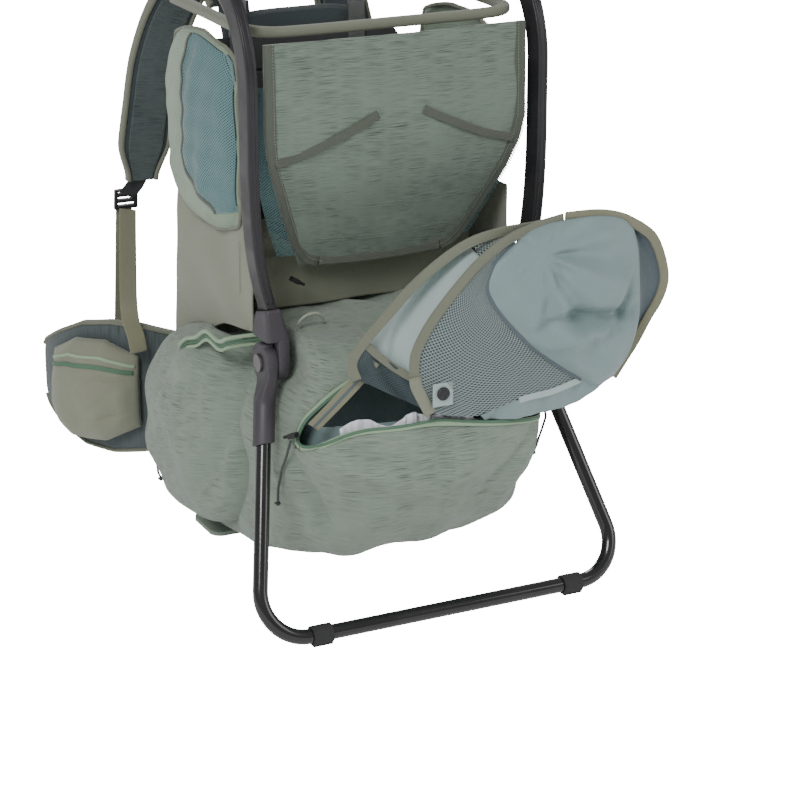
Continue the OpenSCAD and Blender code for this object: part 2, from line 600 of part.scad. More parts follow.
// Webbing loop on two collars that turn on the front bar
handle_half = 46;
module grab_handle() {
  color("#3f4144") {
    for (s = [-1, 1]) on_side(s) translate([handle_half - 9, front_bar_y, front_bar_z]) rotate([0, 90, 0]) difference() {
      cylinder(r = front_bar_r + 3, h = 18);
      translate([0, 0, -1]) cylinder(r = front_bar_r + run_clear, h = 20);
    }
    translate([0, front_bar_y, front_bar_z]) rotate([38, 0, 0]) sweep(
      curve([[-handle_half, 0, front_bar_r + 1.5], [-handle_half + 4, 0, front_bar_r + 18], [-20, 0, front_bar_r + 28], [20, 0, front_bar_r + 28],
        [handle_half - 4, 0, front_bar_r + 18], [handle_half, 0, front_bar_r + 1.5]], 3), bar_shape(16, 5, 10, 3), [0, 0, 1]);
  }
}

// ---- hip belt -----------------------------------------------------------------------
hip_hinge = [148, back_y + 6];
hip_line = [[152, back_y + 11, 158], [182, back_y + 26, 158], [212, back_y + 50, 157], [238, back_y + 84, 156], [254, back_y + 122, 156], [258, back_y + 150, 156]];
hip_h = [132, 150, 156, 146, 112, 70];
hip_t = 13;
module hip_wing(s) {
  color("#5a5f5a") on_side(s) loft([for (i = [0 : len(hip_line) - 1])
    sweep_ring(hip_line, i, bar_shape(hip_t, hip_h[i], 20, 5), [0, 0, 1])], flip = true);
}
pocket_line = [for (i = [1 : 4]) hip_line[i] + [17, -14 - i, 0]];
pocket_h = [92, 122, 120, 84];
pocket_w = [14, 30, 30, 14];
module belt_pocket(s) {
  color("#7e7e6a") on_side(s) difference() {
    loft([for (i = [0 : len(pocket_line) - 1])
      sweep_ring(pocket_line, i, bar_shape(pocket_w[i], pocket_h[i], 20, 3.2), [0, 0, 1])], flip = true);
    loft([for (i = [0 : len(hip_line) - 1])
      sweep_ring(hip_line, i, bar_shape(hip_t + 2 * gap, 220, 12, 9), [0, 0, 1])], flip = true);
  }
}
buckle_at = [206, back_y + 176, 150];
module hip_webbing() {
  sweep(curve([[246, back_y + 152, 156], [232, back_y + 166, 155], buckle_at + [14, -4, 2]], 3), bar_shape(web_t, 36, 8), [0, 0, 1]);
}
module hip_buckle_socket() {
  color("#2c2d30") on_side(-1) {
    hip_webbing();
    translate(buckle_at - [12, -2, 0]) difference() {
      cube([46, 13, 44], center = true);
      translate([-10, 0, 0]) cube([30, 8, 34], center = true);
    }
  }
}
module hip_buckle_plug() {
  color("#2c2d30") on_side(1) {
    hip_webbing();
    translate(buckle_at) {
      cube([20, 12, 44], center = true);
      for (z = [-12, 0, 12]) translate([-22, 0, z]) cube([26, 6, 7], center = true);
    }
  }
}

// ---- sunshade -------------------------------------------------------------------------
hood_y = hub_y - 106;
hoop_r = 3;
// Upper and lower edges of the drawn-out hood, as [x, z], with the rearward bulge between them
hood_top = [[-104, 276], [-103, 300], [-86, 324], [-56, 353], [-22, 381], [18, 404], [61, 416], [112, 421], [172, 420], [216, 409], [243, 385], [256, 352]];
hood_low = [[-78, 246], [-62, 238], [-40, 222], [-16, 214], [14, 212], [50, 217], [96, 212], [130, 211], [166, 226], [200, 249], [222, 276], [240, 312]];
hood_out = [0, 2, 4, 8, 16, 24, 32, 38, 40, 36, 26, 12];
function hood_pt(i, v) = [lerp(hood_low[i][0], hood_top[i][0], v),
  hood_y - hood_out[i] * pow(sin(180 * v), 1.5) - 6 * v * sin(15 * i), lerp(hood_low[i][1], hood_top[i][1], v)];
module sunshade_hood() {
  n = 8;
  color("#96a5a5") sheet([for (i = [0 : len(hood_top) - 1]) [for (j = [0 : n]) hood_pt(i, 0.96 * j / n)]], [0, cloth_t, 0]);
}
hoop_rear = [[-30, hood_y - 14, 238], [-39, hood_y - 16, 262], [-41, hood_y - 16, 284], [-30, hood_y - 22, 325], [-6, hood_y - 24, 360],
             [28, hood_y - 22, 390], [68, hood_y - 16, 410], [108, hood_y - 10, 421], [134, hood_y - 8, 424]];
module sunshade_hoops() {
  color("#8b8a7c") {
    sweep(curve([for (i = [0 : 7]) hood_pt(i, 1) - [0, 2, 0]], 3), round_shape(hoop_r, 8), [0, 1, 0]);
    sweep(curve(hoop_rear, 3), round_shape(hoop_r, 8), [0, 1, 0]);
  }
}
module sunshade_snap() {
  color("#1d1d1f") translate([-13, hood_y - 13, 257]) rotate([90, 0, 0]) cylinder(r = 7, h = 3.4);
}

// ---- zip sliders and their cords ---------------------------------------------------------
module slider() {
  cube([10, 7, 5], center = true);
  translate([8, 0, 0]) cube([8, 4, 3], center = true);
}
left_slider_at = [-147, hub_y - 57, 207];
right_slider_at = [148, hub_y - 57, 192];
module main_slider_left() { color("#30322f") translate(left_slider_at) rotate([0, 20, 120]) slider(); }
module main_slider_right() { color("#30322f") translate(right_slider_at) rotate([0, 20, 62]) slider(); }
// Cord routes: hand-placed, straight out of the slider and down the bag's face
cord_r = 1.4;
left_cord = [[-150, -278, 202], [-151, -275, 194], [-151, -270, 185], [-151, -264, 175], [-152, -258, 164], [-152, -253, 152],
             [-152, -248, 140], [-151, -244, 128], [-150, -241, 119]];
right_cord = [[150, -279, 188], [150, -281, 182], [148, -281, 175], [146, -280, 167], [144, -278, 158], [142, -276, 148], [140, -273, 139]];
side_route = [[-189, 17, 98], [-189, 19, 90], [-188, 20, 80], [-187, 20, 70], [-184, 19, 61]];
module main_cord_left() { color("#3a3d3a") cord(left_cord); }
module main_cord_right() { color("#3a3d3a") cord(right_cord); }
module side_cord() { color("#3a3d3a") cord(side_route); }
module cord(route) { sweep(route, round_shape(cord_r, 8), [0.3, 1, 0]); }
module panel_slider() { color("#1d1d1f") translate([-103, hub_y + 33, 344]) rotate([0, 30, 0]) slider(); }

spar(-1);  // spar_left
spar(1);  // spar_right
front_bar();
top_joints();
hub_housing(-1);  // hub_housing_left
hub_housing(1);  // hub_housing_right
pivot_bolts();
lower_frame();
back_sheet();
back_stays();
base_panel();
lower_bag();
side_pocket(-1);  // side_pocket_left
side_pocket(1);  // side_pocket_right
main_zip();
side_zips();
rain_cover();
retainer_webbing();
side_panel(-1);  // side_panel_left
side_panel(1);  // side_panel_right
wing(-1);  // wing_left
wing(1);  // wing_right
seat_back_panel();
seat_band();
drool_pad();
cockpit_rim();
cord_loop();
back_pad();
lumbar_pad();
side_cord();
kickstand_tube();
socket_arm(-1);  // socket_arm_left
socket_arm(1);  // socket_arm_right
kickstand_feet();
grab_handle();
seat_cushion();
child_harness();
child_buckle();
yoke();
shoulder_strap(-1);  // shoulder_strap_left
shoulder_strap(1);  // shoulder_strap_right
ladder_locks();
strap_webbing(-1);  // strap_webbing_left
strap_webbing(1);  // strap_webbing_right
sternum_strap();
hip_wing(-1);  // hip_wing_left
belt_pocket(-1);  // belt_pocket_left
hip_buckle_socket();
hip_wing(1);  // hip_wing_right
belt_pocket(1);  // belt_pocket_right
hip_buckle_plug();
sunshade_hood();
sunshade_hoops();
sunshade_snap();
main_slider_left();
main_cord_left();
main_slider_right();
main_cord_right();
panel_slider();
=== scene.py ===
"""Looks of a baby carrier backpack that stands on its folding kickstand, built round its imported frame.

Every size is in metres in the shared frame: the origin is on the floor under the middle of the base
panel, +X is the wearer's right, +Y points to the wearer and +Z is up.
"""

import json
import logging
import math
from collections.abc import Callable, Sequence
from dataclasses import dataclass, field
from enum import Enum

import bmesh
import bpy
import numpy as np
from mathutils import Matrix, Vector

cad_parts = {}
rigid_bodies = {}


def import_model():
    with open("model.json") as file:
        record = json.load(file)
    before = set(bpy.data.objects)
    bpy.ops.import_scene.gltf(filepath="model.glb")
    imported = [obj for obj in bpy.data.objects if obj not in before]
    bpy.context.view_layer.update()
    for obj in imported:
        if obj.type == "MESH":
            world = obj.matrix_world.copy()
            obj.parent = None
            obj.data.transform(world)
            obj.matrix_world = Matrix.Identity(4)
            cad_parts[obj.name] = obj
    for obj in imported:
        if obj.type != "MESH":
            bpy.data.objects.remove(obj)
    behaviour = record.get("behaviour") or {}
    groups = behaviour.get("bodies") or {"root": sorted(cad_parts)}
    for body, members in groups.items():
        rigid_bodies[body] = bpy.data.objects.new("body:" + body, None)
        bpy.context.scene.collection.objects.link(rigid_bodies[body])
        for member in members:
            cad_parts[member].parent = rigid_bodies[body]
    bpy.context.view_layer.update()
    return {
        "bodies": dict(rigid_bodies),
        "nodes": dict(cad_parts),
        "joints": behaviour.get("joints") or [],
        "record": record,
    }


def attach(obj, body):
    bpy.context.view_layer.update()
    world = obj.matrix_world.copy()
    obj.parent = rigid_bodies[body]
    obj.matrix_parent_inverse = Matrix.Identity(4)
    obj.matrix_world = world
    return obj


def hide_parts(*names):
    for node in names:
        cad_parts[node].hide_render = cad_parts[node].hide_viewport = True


LOG = logging.getLogger("carrier")
Grid = np.ndarray
Colour = tuple[float, float, float]
HUB = np.array([0.0, -0.220, 0.271])  # middle of the kickstand's pivot axis


class Side(Enum):
    """The wearer's left (-X) or right (+X) side."""

    LEFT = -1
    RIGHT = 1


class Wrap(Enum):
    """Which directions of a grid run round and close on themselves."""

    NONE = (False, False)
    ROWS = (True, False)
    COLUMNS = (False, True)
    BOTH = (True, True)


# ---- shapes -------------------------------------------------------------------------------------
def mm(points: Sequence) -> Grid:
    """Turns millimetres into metres.

    Args:
        points: numbers in millimetres, nested as wanted.

    Returns:
        The same numbers in metres.
    """
    return np.asarray(points, float) * 0.001


def spow(value: Grid, n: float | Grid) -> Grid:
    """Superellipse power: the sign of value times its size to the power 2/n."""
    return np.sign(value) * np.abs(value) ** (2 / n)


def unit(v: Grid) -> Grid:
    """Vectors scaled to length one."""
    return v / np.maximum(np.linalg.norm(v, axis=-1, keepdims=True), 1e-12)


def smoothstep(x: Grid, low: float, high: float) -> Grid:
    """Eased step: 0 below low, 1 above high, and 3t^2 - 2t^3 between."""
    t = np.clip((x - low) / (high - low), 0, 1)
    return t * t * (3 - 2 * t)


def hill(x: Grid, centre: float, width: float) -> Grid:
    """Bell curve exp(-((x - centre) / width)^2)."""
    return np.exp(-(((x - centre) / width) ** 2))


def spline(points: Sequence, steps: int = 8) -> Grid:
    """Catmull-Rom curve through points.

    Between points b and c, with neighbours a and d, it is half of
    2b + (c-a)t + (2a-5b+4c-d)t^2 + (3b-a-3c+d)t^3.

    Args:
        points: points in any number of dimensions.
        steps: steps between two points.

    Returns:
        The points of the curve.
    """
    p = np.asarray(points, float)
    p4 = np.concatenate([2 * p[:1] - p[1:2], p, 2 * p[-1:] - p[-2:-1]])
    a, b, c, d = (x[:, None, :] for x in (p4[:-3], p4[1:-2], p4[2:-1], p4[3:]))
    t = np.linspace(0, 1, steps, endpoint=False)[None, :, None]
    out = 0.5 * (2 * b + (c - a) * t + (2 * a - 5 * b + 4 * c - d) * t**2 + (3 * b - a - 3 * c + d) * t**3)
    return np.concatenate([out.reshape(-1, p.shape[1]), p[-1:]])


def spaced(path: Grid, count: int) -> Grid:
    """Points evenly spaced along a path by arc length.

    Args:
        path: points of the path.
        count: how many points to return.

    Returns:
        The points, with the two ends kept.
    """
    s = np.concatenate([[0], np.cumsum(np.linalg.norm(np.diff(path, axis=0), axis=1))])
    at = np.linspace(0, s[-1], count)
    return np.stack([np.interp(at, s, path[:, k]) for k in range(path.shape[1])], 1)


def curve(points: Sequence, count: int = 60) -> Grid:
    """Evenly spaced smooth curve through points in millimetres."""
    return spaced(spline(mm(points), 12), count)


def box_outline(width: float, thick: float, count: int = 24, n: float = 5) -> Grid:
    """Rounded bar outline: a superellipse of power n, width by thick."""
    a = 2 * np.pi * (np.arange(count) + 0.5) / count
    return np.stack([width / 2 * spow(np.cos(a), n), thick / 2 * spow(np.sin(a), n)], 1)


def disc_outline(radius: float, count: int = 24) -> Grid:
    """Circle of a radius as an outline."""
    return box_outline(2 * radius, 2 * radius, count, 2)


def sweep(path: Grid, outline: Grid, hint: Sequence = (0, 0, 1), swell: Grid | None = None) -> Grid:
    """Carries an outline along a path.

    A ring is the path's point plus the outline's first number across (tangent x hint) and its
    second number along the hint, as far as the path allows.

    Args:
        path: points of the path.
        outline: points of the flat outline.
        hint: direction of the outline's second axis, one for all or one for each point.
        swell: share of full size at each point.

    Returns:
        Grid of path points by outline points.
    """
    tangent = unit(np.gradient(path, axis=0))
    side = unit(np.cross(tangent, np.broadcast_to(np.asarray(hint, float), path.shape)))
    up = np.cross(side, tangent)
    size = np.ones(len(path)) if swell is None else swell
    flat = outline[None] * size[:, None, None]
    return path[:, None] + side[:, None] * flat[..., :1] + up[:, None] * flat[..., 1:]


def coons(bottom: Grid, top: Grid, left: Grid, right: Grid, rows: int = 60, columns: int = 60) -> Grid:
    """Cloth stretched between four edges, as a Coons patch.

    It is the sheet ruled between bottom and top, plus the one ruled between left and right, less
    the flat one through the four corners.

    Args:
        bottom: edge from the lower left corner to the lower right one.
        top: edge from the upper left corner to the upper right one.
        left: edge from the lower left corner to the upper left one.
        right: edge from the lower right corner to the upper right one.
        rows: points up the patch.
        columns: points across it.

    Returns:
        Grid of rows by columns.
    """
    b, t = spaced(bottom, columns)[None], spaced(top, columns)[None]
    el, r = spaced(left, rows)[:, None], spaced(right, rows)[:, None]
    u = np.linspace(0, 1, columns)[None, :, None]
    v = np.linspace(0, 1, rows)[:, None, None]
    corners = (1 - v) * ((1 - u) * el[0] + u * r[0]) + v * ((1 - u) * el[-1] + u * r[-1])
    return (1 - v) * b + v * t + (1 - u) * el + u * r - corners


def lengths(grid: Grid, axis: int, closed: bool) -> Grid:
    """Mean distance along one axis of a grid, from its first row or column, in metres."""
    g = np.concatenate([grid, grid.take([0], axis)], axis) if closed else grid
    step = np.linalg.norm(np.diff(g, axis=axis), axis=2).mean(1 - axis)
    return np.concatenate([[0], np.cumsum(step)])


def build(name: str, grid: Grid, wrap: Wrap = Wrap.NONE, caps: bool = False,
    flip: bool = False) -> bpy.types.Object:
    """Makes a mesh of a grid of points, with a UV map in metres along its rows and columns.

    Args:
        name: name of the object.
        grid: points, rows by columns by three.
        wrap: which directions close on themselves.
        caps: whether the first and last row of a tube are closed with a fan.
        flip: whether the faces turn the other way round.

    Returns:
        The new object, at the origin, smooth shaded.
    """
    m, n = grid.shape[:2]
    over_rows, over_columns = wrap.value
    i, j = (x.ravel() for x in np.meshgrid(np.arange(m if over_rows else m - 1),
        np.arange(n if over_columns else n - 1), indexing="ij"))
    i1, j1 = i + 1, j + 1
    quads = np.stack([i * n + j, (i1 % m) * n + j, (i1 % m) * n + j1 % n, i * n + j1 % n], 1)
    u, v = lengths(grid, 0, over_rows), lengths(grid, 1, over_columns)
    uv = np.stack([np.stack([u[a], v[b]], 1) for a, b in ((i, j), (i1, j), (i1, j1), (i, j1))], 1).reshape(-1,
        2)
    points = grid.reshape(-1, 3)
    faces = quads.tolist()
    if caps:
        k = np.arange(n)
        points = np.concatenate([points, grid[:1].mean(1), grid[-1:].mean(1)])
        first = np.stack([np.full(n, m * n), k, (k + 1) % n], 1)
        last = np.stack([np.full(n, m * n + 1), (m - 1) * n + (k + 1) % n, (m - 1) * n + k], 1)
        faces += first.tolist() + last.tolist()
        w = np.stack([0 * k, v[:n] if n < len(v) else v[k]], 1)
        fan = np.stack([w * [[0, 1]], w, np.roll(w, -1, 0)], 1).reshape(-1, 2)
        uv = np.concatenate([uv, fan, fan])
    if flip:
        faces = [f[::-1] for f in faces]
        uv = np.concatenate([uv[: 4 * len(quads)].reshape(-1, 4, 2)[:, ::-1].reshape(-1, 2),
            uv[4 * len(quads):].reshape(-1, 3, 2)[:, ::-1].reshape(-1, 2)])
    mesh = bpy.data.meshes.new(name)
    mesh.from_pydata(points.tolist(), [], faces)
    layer = mesh.uv_layers.new(name="UVMap")
    layer.data.foreach_set("uv", uv.astype(np.float32).ravel())
    mesh.polygons.foreach_set("use_smooth", np.ones(len(faces), bool))
    mesh.update()
    made = bpy.data.objects.new(name, mesh)
    bpy.context.scene.collection.objects.link(made)
    return made


def tube(name: str, path: Grid, outline: Grid, hint: Sequence = (0, 0, 1),
    swell: Grid | None = None) -> bpy.types.Object:
    """Closed solid made by carrying an outline along a path, with both ends capped and faces outwards."""
    grid = sweep(path, outline, hint, swell)
    return build(name, grid, Wrap.COLUMNS, caps=True, flip=inside_out(grid))


def inside_out(grid: Grid) -> bool:
    """Whether a closed tube's faces point inwards, by the sign of the volume its quads enclose."""
    g = grid - grid.mean((0, 1))
    a, b = g[:-1], g[1:]
    c, d = np.roll(b, -1, 1), np.roll(a, -1, 1)
    return float(np.einsum("ijk,ijk->", a, np.cross(b, c)) + np.einsum("ijk,ijk->", a, np.cross(c, d))) < 0


def ribbon(name: str, path: Grid, width: float, thick: float, face: Sequence) -> bpy.types.Object:
    """Flat tape along a path: width wide, thick thick, its broad side towards face."""
    return tube(name, path, box_outline(width, thick, 20, 6), face)


def joined(name: str, parts: list[bpy.types.Object]) -> bpy.types.Object:
    """Makes one object of several, under one name."""
    with bpy.context.temp_override(active_object=parts[0], selected_editable_objects=parts):
        bpy.ops.object.join()
    parts[0].name = parts[0].data.name = name
    return parts[0]


def thicken(made: bpy.types.Object, thick: float, offset: float = 0.0) -> bpy.types.Object:
    """Gives a sheet its thickness with a Solidify modifier."""
    wall = made.modifiers.new("thickness", "SOLIDIFY")
    wall.thickness, wall.offset = thick, offset
    return made


def rounded(made: bpy.types.Object, levels: int = 1) -> bpy.types.Object:
    """Adds a Subdivision Surface with the same levels in view and render."""
    soft = made.modifiers.new("rounding", "SUBSURF")
    soft.levels = soft.render_levels = levels
    return made


def stitches(name: str, path: Grid, pitch: float = 0.0032, length: float = 0.0021,
    radius: float = 0.00042) -> bpy.types.Object:
    """Row of sewn stitches: one six-sided thread bead for each pitch along a path.

    A bead's ring at share t of its length has the radius sin(pi t) to the power 0.4 times radius.

    Args:
        name: name of the object.
        path: line that the stitches follow.
        pitch: distance from one stitch to the next.
        length: length of one stitch.
        radius: radius of the thread.

    Returns:
        One object with every stitch of the row.
    """
    total = np.linalg.norm(np.diff(path, axis=0), axis=1).sum()
    count = max(int(total / pitch), 2)
    at = spaced(path, count)
    along = unit(np.gradient(at, axis=0))
    side = unit(np.cross(along, [0.31, 0.87, 0.38]))
    up = np.cross(side, along)
    t = np.array([0.0, 0.18, 0.5, 0.82, 1.0])
    a = np.arange(6) * np.pi / 3
    r = radius * np.sin(np.pi * np.clip(t, 0.02, 0.98)) ** 0.4
    beads = (
        at[:, None, None]
        + along[:, None, None] * ((t - 0.5) * length)[None, :, None, None]
        + side[:, None, None] * (r[:, None] * np.cos(a))[None, :, :, None]
        + up[:, None, None] * (r[:, None] * np.sin(a))[None, :, :, None]
    )
    base = (np.arange(count) * 30)[:, None, None, None]
    k, s = np.meshgrid(np.arange(4), np.arange(6), indexing="ij")
    quad = np.stack([k * 6 + s, k * 6 + (s + 1) % 6, (k + 1) * 6 + (s + 1) % 6, (k + 1) * 6 + s], -1)
    faces = (base + quad[None]).reshape(-1, 4).tolist()
    ends = (np.arange(count) * 30)[:, None]
    faces += (ends + np.arange(6)[::-1]).tolist() + (ends + 24 + np.arange(6)).tolist()
    mesh = bpy.data.meshes.new(name)
    mesh.from_pydata(beads.reshape(-1, 3).tolist(), [], faces)
    mesh.uv_layers.new(name="UVMap")
    mesh.polygons.foreach_set("use_smooth", np.ones(len(faces), bool))
    mesh.update()
    made = bpy.data.objects.new(name, mesh)
    bpy.context.scene.collection.objects.link(made)
    return made


def normals(grid: Grid) -> Grid:
    """Unit normals of a grid, the cross product of its two directions."""
    return unit(np.cross(np.gradient(grid, axis=0), np.gradient(grid, axis=1)))


def near_line(points: Grid, line: Grid) -> tuple[Grid, Grid]:
    """Distance from points to a line of straight spans, and the share of its length at the nearest place.

    Args:
        points: points, any shape ending in the number of dimensions.
        line: points of the line in the same dimensions.

    Returns:
        Distances and shares from 0 to 1, with the shape of the points.
    """
    flat = points.reshape(-1, 1, points.shape[-1])
    a, d = line[None, :-1], np.diff(line, axis=0)[None]
    t = np.clip(((flat - a) * d).sum(2) / (d * d).sum(2), 0, 1)
    away = np.linalg.norm(flat - a - d * t[..., None], axis=2)
    best = away.argmin(1)
    row = np.arange(len(flat))
    share = (best + t[row, best]) / (len(line) - 1)
    shape = points.shape[:-1]
    return away[row, best].reshape(shape), share.reshape(shape)


@dataclass(frozen=True)
class Crease:
    """A fold line in cloth: it sinks (depth > 0) or rises (depth < 0) along a line, and fades at its ends."""

    line: Sequence
    depth: float
    width: float

    def shift(self, points: Grid) -> Grid:
        """How far each point moves inwards: depth times a bell curve of the distance, eased out at the ends."""
        away, share = near_line(points, mm(self.line))
        return self.depth * np.exp(-((away / self.width) ** 2)) * np.sin(np.pi * np.clip(share, 0.04,
            0.96)) ** 0.6


def ripples(points: Grid, seed: int, size: float, height: float, stretch: Sequence = (1, 1, 1)) -> Grid:
    """Gentle unevenness of cloth: the sum of six sine waves in seeded directions.

    Args:
        points: points, ending in three numbers.
        seed: seed of the directions and phases.
        size: length of the longest wave.
        height: greatest height of the sum.
        stretch: how much closer together the waves lie along each axis.

    Returns:
        Heights with the shape of the points.
    """
    rng = np.random.default_rng(seed)
    directions = unit(rng.normal(size=(6, 3))) * np.asarray(stretch)
    waves = 2 * np.pi / size * np.linspace(1, 2.7, 6)
    phase = rng.uniform(0, 6.28, 6)
    return height / 3 * np.sin((points @ directions.T) * waves + phase).sum(-1)


# ---- finishes -----------------------------------------------------------------------------------
def screen(red: int, green: int, blue: int) -> Colour:
    """Linear colour of a screen colour given from 0 to 255."""
    return tuple((x / 255 / 12.92) if x < 10.4 else ((x / 255 + 0.055) / 1.055) ** 2.4 for x in (red, green,
        blue))


@dataclass
class Wiring:
    """Short way to place and join the nodes of one tree."""

    tree: bpy.types.NodeTree

    def put(self, kind: str, inputs: dict | None = None, **props: object) -> bpy.types.Node:
        """Adds a node.

        Args:
            kind: Blender's type name of the node.
            inputs: value or source socket for each input, by name or number.
            props: settings of the node itself.

        Returns:
            The node.
        """
        made = self.tree.nodes.new(kind)
        for key, value in props.items():
            setattr(made, key, value)
        for key, value in (inputs or {}).items():
            if isinstance(value, bpy.types.NodeSocket):
                self.tree.links.new(value, made.inputs[key])
            else:
                made.inputs[key].default_value = value
        return made

    def calc(self, operation: str, a: object, b: object = 0.0, clamp: bool = False) -> bpy.types.NodeSocket:
        """Result of one sum on two values."""
        return self.put("ShaderNodeMath", {0: a, 1: b}, operation=operation, use_clamp=clamp).outputs[0]

    def blend(self, share: object, a: object, b: object) -> bpy.types.NodeSocket:
        """Colour between a and b."""
        lay = {0: share, 6: rgba(a), 7: rgba(b)}
        return self.put("ShaderNodeMix", lay, data_type="RGBA").outputs[2]

    def span(self, value: object, low: float, high: float, out_low: float = 0.0,
        out_high: float = 1.0) -> bpy.types.NodeSocket:
        """Value from low to high, moved to the range from out_low to out_high and clamped."""
        lay = {0: value, 1: low, 2: high, 3: out_low, 4: out_high}
        return self.put("ShaderNodeMapRange", lay, interpolation_type="SMOOTHSTEP").outputs[0]

    def noise(self, vector: object, scale: float, detail: float = 2.0) -> bpy.types.NodeSocket:
        """Noise value at a place."""
        return self.put("ShaderNodeTexNoise", {"Vector": vector, "Scale": scale, "Detail": detail}).outputs[0]


def rgba(value: object) -> object:
    """A colour of three numbers with its alpha added; a socket is returned as it is."""
    return (*value, 1.0) if isinstance(value, tuple) and len(value) == 3 else value


def effect(name: str, inputs: dict[str, float | None], outputs: Sequence[str],
    wire: Callable) -> bpy.types.NodeTree:
    """Makes a shader node group once and returns it.

    Args:
        name: name of the group.
        inputs: default value for each input; None makes it a vector.
        outputs: names of the outputs, all values.
        wire: function that gets the Wiring and the input sockets, and returns the output sockets.

    Returns:
        The group's tree.
    """
    if name in bpy.data.node_groups:
        return bpy.data.node_groups[name]
    tree = bpy.data.node_groups.new(name, "ShaderNodeTree")
    for key, value in inputs.items():
        made = tree.interface.new_socket(key, in_out="INPUT",
            socket_type="NodeSocketVector" if value is None else "NodeSocketFloat")
        if value is not None:
            made.default_value = value
    for key in outputs:
        tree.interface.new_socket(key, in_out="OUTPUT", socket_type="NodeSocketFloat")
    w = Wiring(tree)
    came = w.put("NodeGroupInput")
    ends = w.put("NodeGroupOutput")
    for socket, result in zip(ends.inputs, wire(w, came.outputs), strict=False):
        tree.links.new(result, socket)
    return tree


def wire_weave(w: Wiring, came: object) -> list:
    """Plain weave: half plus half the product of two sines, one along each direction of the cloth."""
    at = w.put("ShaderNodeSeparateXYZ", {0: came["Vector"]}).outputs
    turns = w.calc("DIVIDE", 6.2832, came["Pitch"])
    waves = [w.calc("SINE", w.calc("MULTIPLY", at[k], turns)) for k in (0, 1)]
    height = w.calc("ADD", w.calc("MULTIPLY", w.calc("MULTIPLY", *waves), 0.5), 0.5)
    uneven = w.noise(came["Vector"], 260.0)
    return [w.calc("MULTIPLY", height, w.span(uneven, 0.3, 0.7, 0.7, 1.0))]


def wire_slubs(w: Wiring, came: object) -> list:
    """Thick and thin yarn: noise drawn out along the weft, sharpened into streaks, and a finer copy."""
    long = w.put("ShaderNodeMapping", {0: came["Vector"], 3: (2300.0, 42.0, 1.0)}).outputs[0]
    fine = w.put("ShaderNodeMapping", {0: came["Vector"], 3: (4200.0, 150.0, 1.0)}).outputs[0]
    broad = w.noise(came["Vector"], 14.0)
    streak = w.span(w.noise(long, 1.0, 1.0), 0.50, 0.66)
    return [w.calc("MULTIPLY", streak, w.span(broad, 0.3, 0.65, 0.35, 1.0)), w.span(w.noise(fine, 1.0, 1.0),
        0.3, 0.7)]


def wire_holes(w: Wiring, came: object) -> list:
    """Net: round holes on a lattice turned by 45 degrees; the value is 1 on thread and 0 in a hole."""
    at = w.put("ShaderNodeSeparateXYZ", {0: came["Vector"]}).outputs
    parts = [w.calc("SUBTRACT", w.calc("FRACT", w.calc("DIVIDE", w.calc(op, at[0], at[1]), came["Pitch"])),
        0.5) for op in ("ADD", "SUBTRACT")]
    away = w.calc("SQRT", w.calc("ADD", *[w.calc("MULTIPLY", p, p) for p in parts]))
    inner = w.calc("SUBTRACT", came["Hole"], 0.04)
    lay = {0: away, 1: inner, 2: came["Hole"], 3: 0.0, 4: 1.0}
    return [w.put("ShaderNodeMapRange", lay).outputs[0]]


def wire_ribs(w: Wiring, came: object) -> list:
    """Webbing: fine ribs along the band crossed by a broken diagonal, with the band's length first."""
    at = w.put("ShaderNodeSeparateXYZ", {0: came["Vector"]}).outputs
    turns = w.calc("DIVIDE", 6.2832, came["Pitch"])
    across = w.calc("SINE", w.calc("MULTIPLY", at[1], turns))
    slant = w.calc("SINE", w.calc("MULTIPLY", w.calc("ADD", at[0], w.calc("MULTIPLY", at[1], 0.6)), turns))
    return [w.calc("ADD", w.calc("MULTIPLY", w.calc("ADD", across, slant), 0.25), 0.5)]


def wire_checks(w: Wiring, came: object) -> list:
    """Ripstop: thicker threads on a square lattice, 1 on a thread."""
    at = w.put("ShaderNodeSeparateXYZ", {0: came["Vector"]}).outputs
    lines = [w.span(w.calc("ABSOLUTE", w.calc("SUBTRACT", w.calc("FRACT", w.calc("DIVIDE", at[k],
        came["Pitch"])), 0.5)), 0.36, 0.44) for k in (0, 1)]
    return [w.calc("MAXIMUM", *lines)]


def wire_grain(w: Wiring, came: object) -> list:
    """Moulded grain: fine noise for height, and broad noise for handling marks."""
    return [w.noise(came["Vector"], 1700.0, 3.0), w.span(w.noise(came["Vector"], 24.0, 4.0), 0.35, 0.7)]


class Weave(Enum):
    """How a cloth is made."""

    PLAIN = "plain"
    HEATHER = "heather"
    RIPSTOP = "ripstop"
    NET = "net"
    WEBBING = "webbing"
    COATED = "coated"


